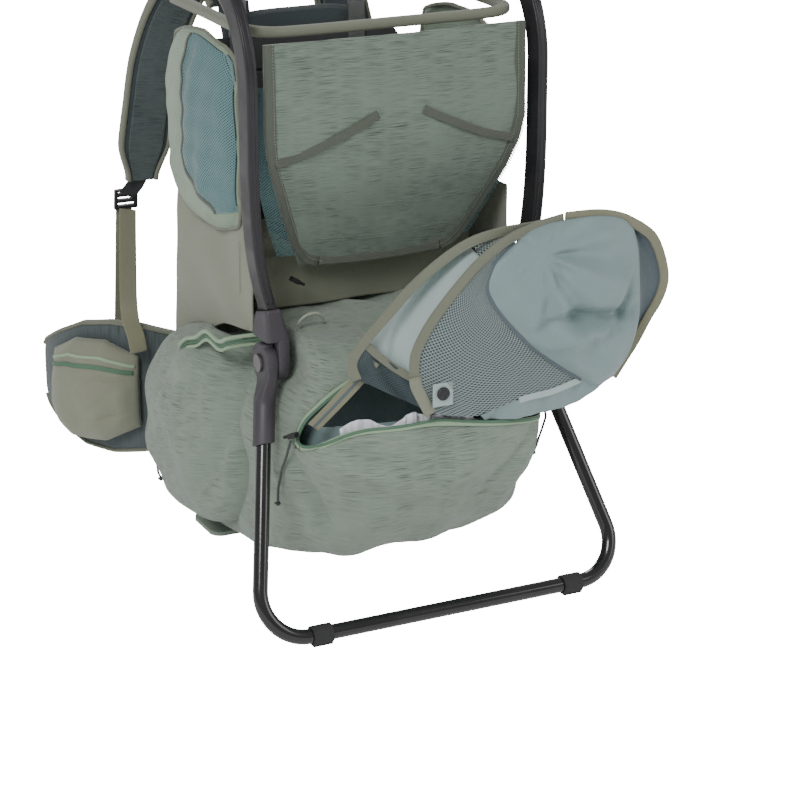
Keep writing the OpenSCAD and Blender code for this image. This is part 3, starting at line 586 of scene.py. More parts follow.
@dataclass(frozen=True)
class Cloth:
    """A fabric finish: colour, the colour of its dark yarn (also used as painted shade in the hollows of the
    weave), the weave and how deep it lies.
    """

    name: str
    colour: Colour
    yarn: Colour
    weave: Weave = Weave.PLAIN
    pitch: float = 0.0011
    rough: float = 0.86
    sheen: float = 0.25
    relief: float = 0.00022
    hole: float = 0.36

    def material(self) -> bpy.types.Material:
        """Makes the material once and returns it."""
        if self.name in bpy.data.materials:
            return bpy.data.materials[self.name]
        made = bpy.data.materials.new(self.name)
        made.use_nodes = True
        w = Wiring(made.node_tree)
        shader = made.node_tree.nodes["Principled BSDF"]
        uv = w.put("ShaderNodeUVMap", uv_map="UVMap").outputs[0]
        place = w.put("ShaderNodeTexCoord").outputs["Object"]
        threads = effect("woven threads", {"Vector": None, "Pitch": 0.001}, ["Height"], wire_weave)
        height = w.put("ShaderNodeGroup", {"Vector": uv, "Pitch": self.pitch}, node_tree=threads).outputs[0]
        fade = w.span(w.noise(place, 11.0, 3.0), 0.3, 0.72)
        colour = w.blend(w.calc("MULTIPLY", fade, 0.3), self.colour, tuple(0.84 * x for x in self.colour))
        match self.weave:
            case Weave.HEATHER:
                yarn = w.put("ShaderNodeGroup", {"Vector": uv}, node_tree=effect("slub yarn",
                    {"Vector": None}, ["Streak", "Fine"], wire_slubs)).outputs
                light = tuple(min(1.18 * x, 1.0) for x in self.colour)
                colour = w.blend(w.calc("MULTIPLY", yarn[1], 0.45), colour, light)
                colour = w.blend(w.calc("MULTIPLY", yarn[0], 0.85), colour, self.yarn)
                height = w.calc("SUBTRACT", height, w.calc("MULTIPLY", yarn[0], 0.8))
            case Weave.RIPSTOP:
                check = w.put("ShaderNodeGroup", {"Vector": uv, "Pitch": 0.0032},
                    node_tree=effect("ripstop checks", {"Vector": None, "Pitch": 0.003}, ["Line"],
                    wire_checks)).outputs[0]
                colour = w.blend(w.calc("MULTIPLY", check, 0.5), colour, self.yarn)
                height = w.calc("ADD", height, check)
            case Weave.WEBBING:
                height = w.put("ShaderNodeGroup", {"Vector": uv, "Pitch": self.pitch},
                    node_tree=effect("webbing ribs", {"Vector": None, "Pitch": 0.001}, ["Height"],
                    wire_ribs)).outputs[0]
                # Painted shade: the hollows between the ribs are tinted up to 55 % towards the dark yarn.
                colour = w.blend(w.span(height, 0.1, 0.6, 0.55, 0.0), colour, self.yarn)
            case Weave.NET:
                mask = w.put("ShaderNodeGroup", {"Vector": uv, "Pitch": self.pitch, "Hole": self.hole},
                    node_tree=effect("net holes", {"Vector": None, "Pitch": 0.003, "Hole": 0.36},
                    ["Thread"], wire_holes)).outputs[0]
                made.node_tree.links.new(mask, shader.inputs["Alpha"])
                height = mask
            case _:
                # Painted shade: the hollows of the weave are tinted up to 30 % towards the dark colour.
                colour = w.blend(w.span(height, 0.0, 0.6, 0.3, 0.0), colour, self.yarn)
        bump = w.put("ShaderNodeBump", {"Strength": 0.9, "Distance": self.relief, "Height": height})
        made.node_tree.links.new(colour, shader.inputs["Base Color"])
        made.node_tree.links.new(bump.outputs[0], shader.inputs["Normal"])
        made.node_tree.links.new(w.span(fade, 0, 1, self.rough - 0.05, min(self.rough + 0.04, 1)),
            shader.inputs["Roughness"])
        shader.inputs["Sheen Weight"].default_value = self.sheen
        shader.inputs["Sheen Roughness"].default_value = 0.5
        shader.inputs["Specular IOR Level"].default_value = 0.42 if self.weave is Weave.COATED else 0.22
        return made


@dataclass(frozen=True)
class Hard:
    """A moulded, rubber or metal finish with grain and handling marks."""

    name: str
    colour: Colour
    rough: float
    metallic: float = 0.0
    coat: float = 0.0
    relief: float = 0.00008
    marks: float = 0.12

    def material(self) -> bpy.types.Material:
        """Makes the material once and returns it."""
        if self.name in bpy.data.materials:
            return bpy.data.materials[self.name]
        made = bpy.data.materials.new(self.name)
        made.use_nodes = True
        w = Wiring(made.node_tree)
        shader = made.node_tree.nodes["Principled BSDF"]
        place = w.put("ShaderNodeTexCoord").outputs["Object"]
        grain = w.put("ShaderNodeGroup", {"Vector": place}, node_tree=effect("moulded grain",
            {"Vector": None}, ["Height", "Marks"], wire_grain)).outputs
        bump = w.put("ShaderNodeBump", {"Strength": 0.6, "Distance": self.relief, "Height": grain[0]})
        dusty = tuple(min(1.0, 1.25 * x + 0.01) for x in self.colour)
        made.node_tree.links.new(w.blend(w.calc("MULTIPLY", grain[1], 0.35), self.colour, dusty),
            shader.inputs["Base Color"])
        made.node_tree.links.new(w.span(grain[1], 0, 1, self.rough, min(self.rough + self.marks, 1)),
            shader.inputs["Roughness"])
        made.node_tree.links.new(bump.outputs[0], shader.inputs["Normal"])
        shader.inputs["Metallic"].default_value = self.metallic
        shader.inputs["Coat Weight"].default_value = self.coat
        shader.inputs["Coat Roughness"].default_value = 0.12
        return made


HEATHER = Cloth("heather cloth", screen(134, 147, 134), screen(70, 82, 74), Weave.HEATHER)
SEAT_HEATHER = Cloth("seat heather", screen(116, 130, 118), screen(54, 66, 60), Weave.HEATHER)
OLIVE = Cloth("olive cloth", screen(136, 139, 122), screen(112, 114, 99), pitch=0.0008, relief=0.00012)
RIPSTOP = Cloth("ripstop cloth", screen(150, 168, 148), screen(112, 130, 110), Weave.RIPSTOP)
TEAL_NET = Cloth("teal net", screen(112, 146, 149), screen(80, 106, 110), Weave.NET, 0.0034, 0.6, hole=0.33)
HOOD_NET = Cloth("hood net", screen(140, 154, 152), screen(100, 112, 110), Weave.NET, 0.0037, 0.6, hole=0.40)
DARK_NET = Cloth("spacer net", screen(60, 74, 78), screen(40, 48, 52), Weave.NET, 0.003, 0.7, hole=0.2)
HOOD = Cloth("coated hood cloth", screen(130, 150, 151), screen(108, 127, 130), Weave.COATED, 0.0006, 0.52,
    0.1, 0.00005)
LINING = Cloth("hood lining", screen(170, 187, 184), screen(146, 162, 161), Weave.COATED, 0.0006, 0.5, 0.1,
    0.00005)
SLATE = Cloth("slate liner", screen(84, 97, 103), screen(62, 74, 80), Weave.COATED, 0.0007, 0.55, 0.1, 0.00006)
WHITE = Cloth("white liner", screen(232, 234, 240), screen(200, 204, 212), Weave.COATED, 0.0007, 0.5, 0.1,
    0.00006)
SAGE = Cloth("sage zip tape", screen(152, 176, 146), screen(118, 142, 116), pitch=0.0012)
COIL = Cloth("zip coil", screen(92, 124, 102), screen(48, 70, 56), Weave.WEBBING, 0.0016, 0.5, 0.0, 0.0003)
KHAKI = Cloth("khaki webbing", screen(134, 134, 112), screen(98, 98, 80), Weave.WEBBING, 0.0013)
BINDING = Cloth("edge binding", screen(122, 126, 110), screen(92, 95, 82), Weave.WEBBING, 0.0010, relief=0.0002)
DARK_WEB = Cloth("dark webbing", screen(48, 52, 53), screen(30, 33, 34), Weave.WEBBING, 0.0013)
PAD = Cloth("pad fabric", screen(64, 72, 74), screen(44, 50, 52), pitch=0.0016)
CHARCOAL = Cloth("charcoal heather", screen(84, 94, 94), screen(48, 55, 56), Weave.HEATHER)
DEEP_TEAL = Cloth("deep teal lining", screen(50, 72, 76), screen(38, 56, 60))
EDGE = Cloth("dark edge binding", screen(92, 98, 88), screen(46, 52, 47), Weave.WEBBING, 0.0016, relief=0.0004)
THREAD = Cloth("sewing thread", screen(146, 156, 142), screen(118, 128, 114), pitch=0.0005)
CORD = Cloth("flecked cord", screen(70, 78, 74), screen(30, 34, 32), Weave.WEBBING, 0.0016, 0.7)
PALE_CORD = Cloth("pale flecked cord", screen(180, 186, 170), screen(70, 76, 68), Weave.WEBBING, 0.0022, 0.7)
SPAR = Hard("anodised spar", screen(44, 43, 46), 0.36, 0.25, relief=0.00003)
HUB_PLASTIC = Hard("hub plastic", screen(62, 59, 64), 0.46, relief=0.00012)
GLOSS = Hard("gloss coat", screen(13, 13, 14), 0.15, 0.0, 0.5, 0.00002, 0.05)
RUBBER = Hard("foot rubber", screen(40, 40, 42), 0.7)
BOLT = Hard("bolt steel", screen(120, 118, 120), 0.35, 0.9)
STAY = Hard("stay aluminium", screen(170, 170, 172), 0.34, 0.9)
BOARD = Hard("stiff board", screen(60, 62, 62), 0.7)
PLASTIC = Hard("black plastic", screen(34, 34, 36), 0.42)
SLIDER = Hard("slider metal", screen(52, 54, 52), 0.38, 0.6)


# ---- the carrier's sub-assemblies ------------------------------------------------------------------
@dataclass
class Assembly:
    """A group of pieces that are made and dressed together."""

    frame: dict

    def show(self, made: bpy.types.Object, finish: Cloth | Hard, body: str, slot: str,
        *nodes: str) -> bpy.types.Object:
        """Gives a piece its finish and body, and hides the nodes it stands for.

        Args:
            made: the piece.
            finish: its finish.
            body: body that it rides on.
            slot: the record's material slot; not used.
            nodes: nodes that it replaces.

        Returns:
            The piece.
        """
        made.data.materials.clear()
        made.data.materials.append(finish.material())
        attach(made, body)
        if nodes:
            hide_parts(*nodes)
        LOG.info("%s rides on %s", made.name, body)
        return made

    def coat(self, finish: Cloth | Hard, *nodes: str) -> None:
        """Puts a finish on nodes whose own shape is right."""
        for node in nodes:
            data = self.frame["nodes"][node].data
            data.materials.clear()
            data.materials.append(finish.material())
            LOG.info("%s is coated", node)

    def pad(self, made: bpy.types.Object, finish: Cloth, body: str, slot: str, *nodes: str,
        fill: float = 0.6) -> bpy.types.Object:
        self.show(made, finish, body, slot, *nodes)
        return made


def on(side: Side, points: Grid) -> Grid:
    """Points given for the right side, on the side wanted."""
    return points * [side.value, 1, 1]


def named(side: Side, name: str) -> str:
    """Name with its side at the end."""
    return f"{name}_{side.name.lower()}"


@dataclass
class Studio:
    """Floor, soft lights and the camera."""

    target: tuple = (0.004, -0.220, 0.204)
    azimuth: float = -26.1
    elevation: float = 19.7
    distance: float = 2.695
    lens: float = 112.5

    def back(self) -> Vector:
        """Direction from the target to the camera."""
        a, e = math.radians(self.azimuth), math.radians(self.elevation)
        return Vector((math.sin(a) * math.cos(e), -math.cos(a) * math.cos(e), math.sin(e)))

    def softbox(self, name: str, at: Sequence, size: float, power: float) -> None:
        """Square area light of a size and power at a place, facing the carrier."""
        data = bpy.data.lights.new(name, "AREA")
        data.shape, data.size, data.energy = "SQUARE", size, power
        lamp = bpy.data.objects.new(name, data)
        bpy.context.scene.collection.objects.link(lamp)
        lamp.location = at
        lamp.rotation_euler = (Vector(at) - Vector((0, -0.1, 0.3))).to_track_quat("Z", "Y").to_euler()

    def build(self) -> None:
        """Makes the camera, floor, lights and surroundings."""
        cam = bpy.data.objects.new("camera", bpy.data.cameras.new("camera"))
        bpy.context.scene.collection.objects.link(cam)
        cam.data.lens, cam.data.clip_end = self.lens, 60
        cam.location = Vector(self.target) + self.back() * self.distance
        cam.rotation_euler = self.back().to_track_quat("Z", "Y").to_euler()
        bpy.context.scene.camera = cam
        g = np.linspace(-9, 9, 5)
        floor = build("floor", np.stack([*np.meshgrid(g, g, indexing="ij"), np.zeros((5, 5))], 2))
        made = bpy.data.materials.new("pale floor")
        made.use_nodes = True
        shader = made.node_tree.nodes["Principled BSDF"]
        shader.inputs["Base Color"].default_value = (0.86, 0.86, 0.86, 1)
        shader.inputs["Roughness"].default_value = 0.9
        shader.inputs["Emission Color"].default_value = (1, 1, 1, 1)
        seen = made.node_tree.nodes.new("ShaderNodeLightPath")
        glow = made.node_tree.nodes.new("ShaderNodeMapRange")
        glow.inputs[3].default_value, glow.inputs[4].default_value = 0.30, 18.0
        made.node_tree.links.new(seen.outputs["Is Camera Ray"], glow.inputs[0])
        made.node_tree.links.new(glow.outputs[0], shader.inputs["Emission Strength"])
        floor.data.materials.append(made)
        world = bpy.data.worlds.new("studio")
        bpy.context.scene.world = world
        world.use_nodes = True
        world.node_tree.nodes["Background"].inputs[0].default_value = (1, 1, 1, 1)
        world.node_tree.nodes["Background"].inputs[1].default_value = 0.46
        self.softbox("key", (-2.2, -2.2, 2.7), 1.3, 78)
        self.softbox("fill", (2.4, -2.2, 1.6), 1.8, 26)
        self.softbox("rim", (0.6, 2.4, 2.3), 1.4, 30)


@dataclass
class Skeleton(Assembly):
    """Alloy spars, front bar, elbows, base panel and the parts behind them."""

    spar_x: float = 0.166
    depth: float = 0.027
    width: float = 0.012
    seam_z: float = 0.327
    seam_slope: float = 0.3
    rail_angle: float = math.radians(72)

    def spar_path(self) -> Grid:
        """Centreline of the right spar: in from the hub, straight up, then an arc of 110 mm forwards and a straight rail."""
        foot = mm([[148.3, -220, 327], [151.2, -220, 338], [154.2, -220, 349], [160, -220, 379], [164, -220,
            417], [166, -220, 467], [166, -220, 520], [166, -220, 560]])
        a = np.linspace(0.12, self.rail_angle, 12)
        arc = np.stack([0 * a + self.spar_x, -0.110 - 0.110 * np.cos(a), 0.560 + 0.110 * np.sin(a)], 1)
        return spaced(spline(np.concatenate([foot, arc, [[self.spar_x, -0.0115, 0.7077]]]), 6), 150)

    def build(self) -> None:
        """Makes the spars with their fabric edging and coats the rest."""
        path = self.spar_path()
        lean = unit(np.gradient(path, axis=0))
        forward = unit(np.cross(lean, [-1.0, 0, 0]))
        for side in Side:
            grid = sweep(path, box_outline(self.depth, self.width, 64, 9), (1, 0, 0))
            grid[0, :, 2] = self.seam_z - self.seam_slope * (grid[0, :, 1] - HUB[1])
            grid = on(side, grid)
            spar = build(named(side, "spar_section"), grid, Wrap.COLUMNS, True, inside_out(grid))
            self.show(spar, SPAR, "root", "spar_metal", named(side, "spar"))
            edge = path - forward * 0.0142 + [0.0028, 0, 0]
            edging = tube(named(side, "spar_edging"), on(side, edge[2:118]), box_outline(0.0062, 0.0022, 16,
                3), (1, 0, 0))
            self.show(edging, BINDING, "root", "binding")
            for n, off in enumerate((-0.0024, 0.0028)):
                ridge = path + [off, 0, 0] + forward * 0.0133
                self.show(tube(named(side, f"spar_ridge_{n}"), on(side, ridge[3:146]), disc_outline(0.0009,
                    12), (1, 0, 0)), SPAR, "root", "spar_metal")
        self.coat(SPAR, "front_bar", "lower_frame")
        self.coat(HUB_PLASTIC, "top_joints")
        self.coat(STAY, "back_stays")
        self.coat(BOARD, "back_sheet")
        self.coat(HEATHER, "base_panel")
        self.coat(BOLT, "pivot_bolts")


@dataclass
class Kickstand(Assembly):
    """Hub housings, socket arms and the gloss loop with its feet."""

    lean: float = math.atan(125 / 260.5)
    leg_x: float = 0.1526
    stance: float = 0.218
    leg_len: float = 0.28894
    bend_r: float = 0.046
    tube_r: float = 0.008
    arm_len: float = 0.085

    @property
    def splay(self) -> float:
        """Angle that a leg leans outwards."""
        return math.atan((self.stance - self.leg_x) / self.leg_len)

    def place(self, flat: Grid) -> Grid:
        """Points of the leg's plane, as across and down the leg, in the shared frame."""
        down = np.array([0, -math.sin(self.lean), -math.cos(self.lean)])
        return HUB * [0, 1, 1] + flat[..., :1] * [1.0, 0, 0] + flat[..., 1:2] * down

    def loop_path(self) -> Grid:
        """Centreline of the loop: two legs, two arcs and the floor bar."""
        turn, reach = math.pi / 2 + self.splay, self.bend_r / math.tan((math.pi / 2 - self.splay) / 2)
        a = np.linspace(turn, 0, 28)
        arc = np.stack([self.stance - reach + self.bend_r * np.sin(a),
            self.leg_len - self.bend_r * (1 - np.cos(a))], 1)
        start = self.arm_len - 0.0446 * math.cos(self.splay)
        leg = np.linspace([self.leg_x + start * math.tan(self.splay), start], arc[0], 20, endpoint=False)
        half = np.concatenate([leg, arc])
        bar = np.linspace(half[-1], half[-1] * [-1, 1], 24)[1:-1]
        return self.place(np.concatenate([half, bar, half[::-1] * [-1, 1]]))

    def arm_grid(self) -> Grid:
        """Arm of the right side: a flat block at the pivot that turns into a round socket down the leg.

        A ring at distance s is a superellipse whose half sizes and power change smoothly with s.
        """
        s = np.concatenate([[-0.0165, -0.0162], np.linspace(-0.015, 0.0835, 60), [0.0847, 0.085]])[:, None]
        a = np.linspace(0, 2 * np.pi, 64, endpoint=False)[None]
        t = smoothstep(s, 0.014, 0.046)
        lip = 1 - 0.06 * (s < -0.0163) - 0.05 * (s > 0.0849)
        across = (0.0064 + 0.0054 * t) * lip * spow(np.cos(a), 7 - 5 * t)
        deep = (0.0175 - 0.0057 * t) * lip * spow(np.sin(a), 7 - 5 * t)
        x = self.leg_x - 0.0002 + smoothstep(s, 0.0, 0.04) * s * math.tan(self.splay) + across
        down = np.array([0, -math.sin(self.lean), -math.cos(self.lean)])
        facing = np.array([0, math.cos(self.lean), -math.sin(self.lean)])
        return HUB * [0, 1, 1] + x[..., None] * [1.0, 0, 0] + s[..., None] * down + deep[..., None] * facing

    def housing(self, side: Side) -> bpy.types.Object:
        """Round plate inside the arm's eye, and the tapered block above it that takes the spar."""
        a = np.linspace(np.pi, 2 * np.pi, 40)
        low = np.stack([0.0214 * np.cos(a), 0.0214 * np.sin(a)], 1)
        outline = spaced(np.concatenate([low, [[0.0214, 0.028], [0.019, 0.035], [-0.019, 0.035], [-0.0214,
            0.028], [-0.0214, 0.0]]]), 97)[:-1]
        x = np.array([0.1330, 0.1333, 0.1342, 0.1447, 0.1455, 0.1457])
        swell = np.array([0.93, 0.97, 1.0, 1.0, 0.98, 0.95])
        flat = outline[None] * swell[:, None, None]
        plate = np.stack([np.broadcast_to(x[:, None], flat.shape[:2]), HUB[1] + flat[..., 0],
            HUB[2] + flat[..., 1]], 2)
        z = np.array([0.2972, 0.2974, 0.2985, 0.303, 0.309, 0.316, 0.323, 0.3268, 0.3270])[:, None]
        a = np.linspace(0, 2 * np.pi, 72, endpoint=False)[None]
        shrink = np.array([0.95, 0.98, 1, 1, 1, 1, 1, 0.995, 0.97])[:, None]
        half_y = np.interp(z, [0.2972, 0.303, 0.327], [0.0213, 0.0212, 0.0158]) * shrink
        half_x = np.interp(z, [0.2972, 0.303, 0.327], [0.0129, 0.0128, 0.0084]) * shrink
        mid_x = np.interp(z, [0.2972, 0.303, 0.327], [0.146, 0.146, 0.1484])
        y = HUB[1] + half_y * spow(np.sin(a), 7)
        tilt = smoothstep(z, 0.303, 0.327) * -0.3 * (y - HUB[1])
        block = np.stack([mid_x + half_x * spow(np.cos(a), 7), y, z + tilt], 2)
        parts = []
        for n, grid in enumerate((on(side, plate), on(side, block))):
            parts.append(build(f"housing_{n}", grid, Wrap.COLUMNS, True, inside_out(grid)))
        return joined(named(side, "hub_shell"), parts)

    def build(self) -> None:
        """Makes the hubs, the arms and the loop."""
        for side in Side:
            self.show(self.housing(side), HUB_PLASTIC, "root", "hub_plastic", named(side, "hub_housing"))
            a = np.linspace(0, 2 * np.pi, 72, endpoint=False)
            x = np.array([0.1461, 0.1464, 0.147, 0.1575, 0.1583, 0.1586])
            r = 0.0213 * np.array([0.95, 0.98, 1, 1, 0.98, 0.94])
            eye = np.stack([np.broadcast_to(x[:, None], (6, 72)), HUB[1] + r[:, None] * np.cos(a),
                HUB[2] + r[:, None] * np.sin(a)], 2)
            parts = []
            for n, grid in enumerate((on(side, eye), on(side, self.arm_grid()))):
                parts.append(build(f"arm_{n}", grid, Wrap.COLUMNS, True, inside_out(grid)))
            arm = joined(named(side, "pivot_arm"), parts)
            self.show(arm, HUB_PLASTIC, "kickstand", "hub_plastic", named(side, "socket_arm"))
        facing = (0, math.cos(self.lean), -math.sin(self.lean))
        loop = tube("kickstand_loop", self.loop_path(), disc_outline(self.tube_r, 48), facing)
        self.show(loop, GLOSS, "kickstand", "kickstand_gloss", "kickstand_tube")
        self.coat(RUBBER, "kickstand_feet")


@dataclass
class LowerBag(Assembly):
    """Zipped bag under the seat, with its pockets, zips, liner and cords."""

    levels: Grid = field(default_factory=lambda: np.array([
        [14, 7, 70, 40, 124, 2.4], [4, 10, 34, 41, 136, 2.4], [1, 34, -30, 52, 143, 2.3], [0, 80, -85, 84,
            146, 2.3],
        [0, 128, -118, 128, 148, 2.4], [0, 172, -131, 172, 152, 2.9], [0, 204, -128, 205, 149, 3.2], [0, 236,
            -118, 236, 140, 3.4],
        [0, 262, -102, 264, 126, 4.5], [0, 284, -82, 287, 126, 5], [4, 300, -62, 300, 121, 5]], float))
    front_y: float = 0.0292
    mouth: Grid = field(default_factory=lambda: spline(mm([
        [-143, 190], [-128, 203], [-108, 214], [-80, 221], [-29, 222], [41, 213], [88, 206], [118, 199], [143,
            190],
        [126, 232], [80, 264], [0, 276], [-74, 274], [-100, 264], [-122, 244], [-136, 218], [-143, 190]]), 6))
    creases: Sequence = (
        Crease([[-140, -300, 212], [-108, -330, 206], [-88, -340, 194], [-40, -345, 178], [20, -348, 172]],
            0.0035, 0.007),
        Crease([[-145, -290, 190], [-100, -335, 176], [-40, -348, 150]], -0.004, 0.013),
        Crease([[112, -330, 198], [92, -338, 178], [60, -335, 150], [20, -320, 118]], 0.004, 0.008),
        Crease([[60, -345, 205], [20, -348, 180], [-10, -348, 150]], -0.0045, 0.016),
        Crease([[-150, -262, 196], [-140, -280, 150], [-120, -280, 110], [-80, -262, 76]], 0.007, 0.010),
        Crease([[-152, -240, 180], [-146, -240, 130], [-132, -230, 84]], -0.004, 0.012),
        Crease([[150, -262, 180], [138, -280, 140], [110, -285, 100]], 0.005, 0.012),
        Crease([[-60, -340, 130], [0, -342, 118], [70, -330, 120]], 0.003, 0.012),
        Crease([[-100, -310, 100], [-30, -320, 88], [40, -315, 86]], 0.0025, 0.010),
    )

    def shell(self, rows: int = 15, around: int = 280, inset: float = 0.0, folded: bool = True) -> Grid:
        """Surface of the bag.

        Each level is a ring about a middle 160 mm in front of its widest line: x is the half width
        times a superellipse cosine, y goes from the middle to the front or rear edge by a
        superellipse sine, and z slopes from the rear height to the front height.

        Args:
            rows: steps between two levels.
            around: points round a ring, evenly spaced on a middle ring.
            inset: how far the surface lies inside the bag's own.
            folded: whether creases and ripples are added.

        Returns:
            Grid of levels by points.
        """
        q = spline(self.levels, rows)
        q[:, :5] *= 0.001
        yf = (self.front_y - q[:, 0] - inset)[:, None]
        yr = (HUB[1] + q[:, 2] + inset)[:, None]
        ym = HUB[1] + 0.060

        def ring(angle: Grid) -> tuple[Grid, Grid]:
            n = np.where(np.sin(angle) > 0, 7.0, q[:, 5:6])
            s = spow(np.sin(angle), n)
            return (q[:, 4:5] - inset) * spow(np.cos(angle), n), np.where(s > 0, ym + (yf - ym) * s,
                ym + (ym - yr) * s)

        dense = np.linspace(0.5 * np.pi, 2.5 * np.pi, 4001)[None]
        x, y = (v[len(q) // 2] for v in ring(dense))
        along = np.concatenate([[0], np.cumsum(np.hypot(np.diff(x), np.diff(y)))])
        angle = np.interp(np.linspace(0, along[-1], around, endpoint=False), along, dense[0])[None]
        x, y = ring(angle)
        z = q[:, 3:4] + (q[:, 1:2] - q[:, 3:4]) * (y - yr) / (yf - yr)
        grid = np.stack([x, y, z], 2)
        if folded:
            out = -normals(np.concatenate([grid[:, -2:], grid, grid[:, :2]], 1))[:, 2:-2]
            move = 1.7 * sum(c.shift(grid) for c in self.creases)
            move = move + ripples(grid, 3, 0.17, 0.0045) + ripples(grid, 5, 0.05, 0.0005)
            calm = smoothstep(grid[..., 2], 0.02, 0.06) * (1 - smoothstep(grid[..., 1], -0.02, 0.02))
            grid = grid + out * (-move * calm)[..., None]
        return grid

    def opened(self, made: bpy.types.Object, grow: float = 0.0) -> bpy.types.Object:
        """Cuts the zip's mouth: faces whose middle lies inside its outline go, and the rim is drawn on to the outline."""
        mesh = made.data
        middle = self.mouth.mean(0)
        line = middle + (self.mouth - middle) * (1 + grow)
        centres = np.zeros(len(mesh.polygons) * 3)
        mesh.polygons.foreach_get("center", centres)
        centres = centres.reshape(-1, 3)
        px, pz = centres[:, 0][:, None], centres[:, 2][:, None]
        a, b = line[None, :-1], line[None, 1:]
        crosses = ((a[..., 1] > pz) != (b[..., 1] > pz)) & (px < a[..., 0] + (pz - a[..., 1]) / (b[...,
            1] - a[..., 1] + 1e-12) * (b[..., 0] - a[..., 0]))
        gone = (crosses.sum(1) % 2 == 1) & (centres[:, 1] < HUB[1] - 0.018)
        rim = self.cut(mesh, gone)
        points = np.zeros(len(mesh.vertices) * 3)
        mesh.vertices.foreach_get("co", points)
        points = points.reshape(-1, 3)
        flat = points[rim][:, [0, 2]]
        where = self.nearest(flat, spaced(line, 1200))
        points[np.ix_(rim, [0, 2])] = where
        mesh.vertices.foreach_set("co", points.ravel())
        mesh.update()
        return made

    @staticmethod
    def cut(mesh: bpy.types.Mesh, gone: Grid) -> Grid:
        """Removes faces from a mesh and returns which of the points that are left lie on the new rim."""
        b = bmesh.new()
        b.from_mesh(mesh)
        b.faces.ensure_lookup_table()
        doomed = [b.faces[k] for k in np.flatnonzero(gone)]
        touched = {v for f in doomed for v in f.verts}
        keep = {v for v in touched if any(not gone[f.index] for f in v.link_faces)}
        bmesh.ops.delete(b, geom=doomed, context="FACES")
        b.verts.index_update()
        rim = np.array(sorted(v.index for v in keep if v.is_valid))
        b.to_mesh(mesh)
        b.free()
        return rim

    @staticmethod
    def nearest(points: Grid, line: Grid) -> Grid:
        """Nearest point of a line for each point, in two dimensions."""
        return line[((points[:, None] - line[None]) ** 2).sum(2).argmin(1)]

    def on_rear(self, flat: Grid, shell: Grid, proud: float = 0.0) -> tuple[Grid, Grid]:
        """Lays points given as X and Z on the bag's rear face.

        Args:
            flat: X and Z of the points.
            shell: the bag's surface.
            proud: how far the points stand off it.

        Returns:
            Points on the surface, and its outward normals there.
        """
        rear = shell[:, :, 1] < HUB[1] - 0.02
        out = -normals(shell)[rear]
        cloud = shell[rear]
        away = ((flat[:, None] - cloud[None][..., [0, 2]]) ** 2).sum(2)
        near = np.argpartition(away, 4, axis=1)[:, :4]
        weight = 1 / (np.take_along_axis(away, near, 1) + 1e-9)
        weight /= weight.sum(1, keepdims=True)
        y = (cloud[near][..., 1] * weight).sum(1)
        normal = unit((out[near] * weight[..., None]).sum(1))
        normal *= np.where(normal[:, 1:2] > 0, -1, 1)
        return np.stack([flat[:, 0], y, flat[:, 1]], 1) + normal * proud, normal

    @staticmethod
    def calmed(closed: Grid, reach: int = 9) -> Grid:
        """Running mean of a closed row of points or directions, over a number of neighbours each way."""
        return sum(np.roll(closed, k, 0) for k in range(-reach, reach + 1)) / (2 * reach + 1)

    def zip_and_liner(self, shell: Grid) -> None:
        """Makes the main zip's tape, coil and seam round the mouth, and the white liner behind its lower lip."""
        line = spaced(self.mouth, 420)
        rim, out = (self.calmed(v) for v in self.on_rear(line, shell, 0.0008))
        middle = rim.mean(0)
        inward = unit((middle - rim) - out * ((middle - rim) * out).sum(1, keepdims=True))
        tape = ribbon("main_zip_tape", rim - inward * 0.0008 + out * 0.0006, 0.0058, 0.0016, out)
        self.show(tape, SAGE, "root", "zip_tape", "main_zip")
        coil = ribbon("main_zip_coil", rim + inward * 0.0024 + out * 0.0012, 0.0032, 0.0022, out)
        self.show(coil, COIL, "root", "zip_tape")
        self.show(stitches("main_zip_seam", rim - inward * 0.0068 + out * 0.0006), THREAD, "root", "zip_tape")
        x = np.linspace(-0.112, 0.046, 150)
        lip = np.stack([x, np.interp(x, *[v for v in self.lower_lip().T])], 1)
        foot, out = self.on_rear(lip, shell, -0.004)
        v = np.linspace(0, 1, 18)[:, None]
        crinkle = 0.0035 * np.sin(x * 190) + 0.002 * np.sin(x * 420 + 1) + 0.0012 * np.sin(x * 811)
        rise = -0.020 + v * (0.030 + 0.004 * np.sin(x * 120) + 0.003 * np.sin(x * 53 + 2))
        grid = foot[None] + rise[..., None] * [0, 0.12, 1.0] - (out[None] * (0.003 + (v * crinkle[None]))[...,
            None])
        liner = thicken(build("rain_cover_edge", grid), 0.0012)
        self.show(liner, WHITE, "root", "liner_fabric", "rain_cover")

    def lower_lip(self) -> Grid:
        """The mouth's lower edge as X and Z, from left to right."""
        lip = self.mouth[: self.mouth[:, 0].argmax() + 1]
        return lip[np.argsort(lip[:, 0])]

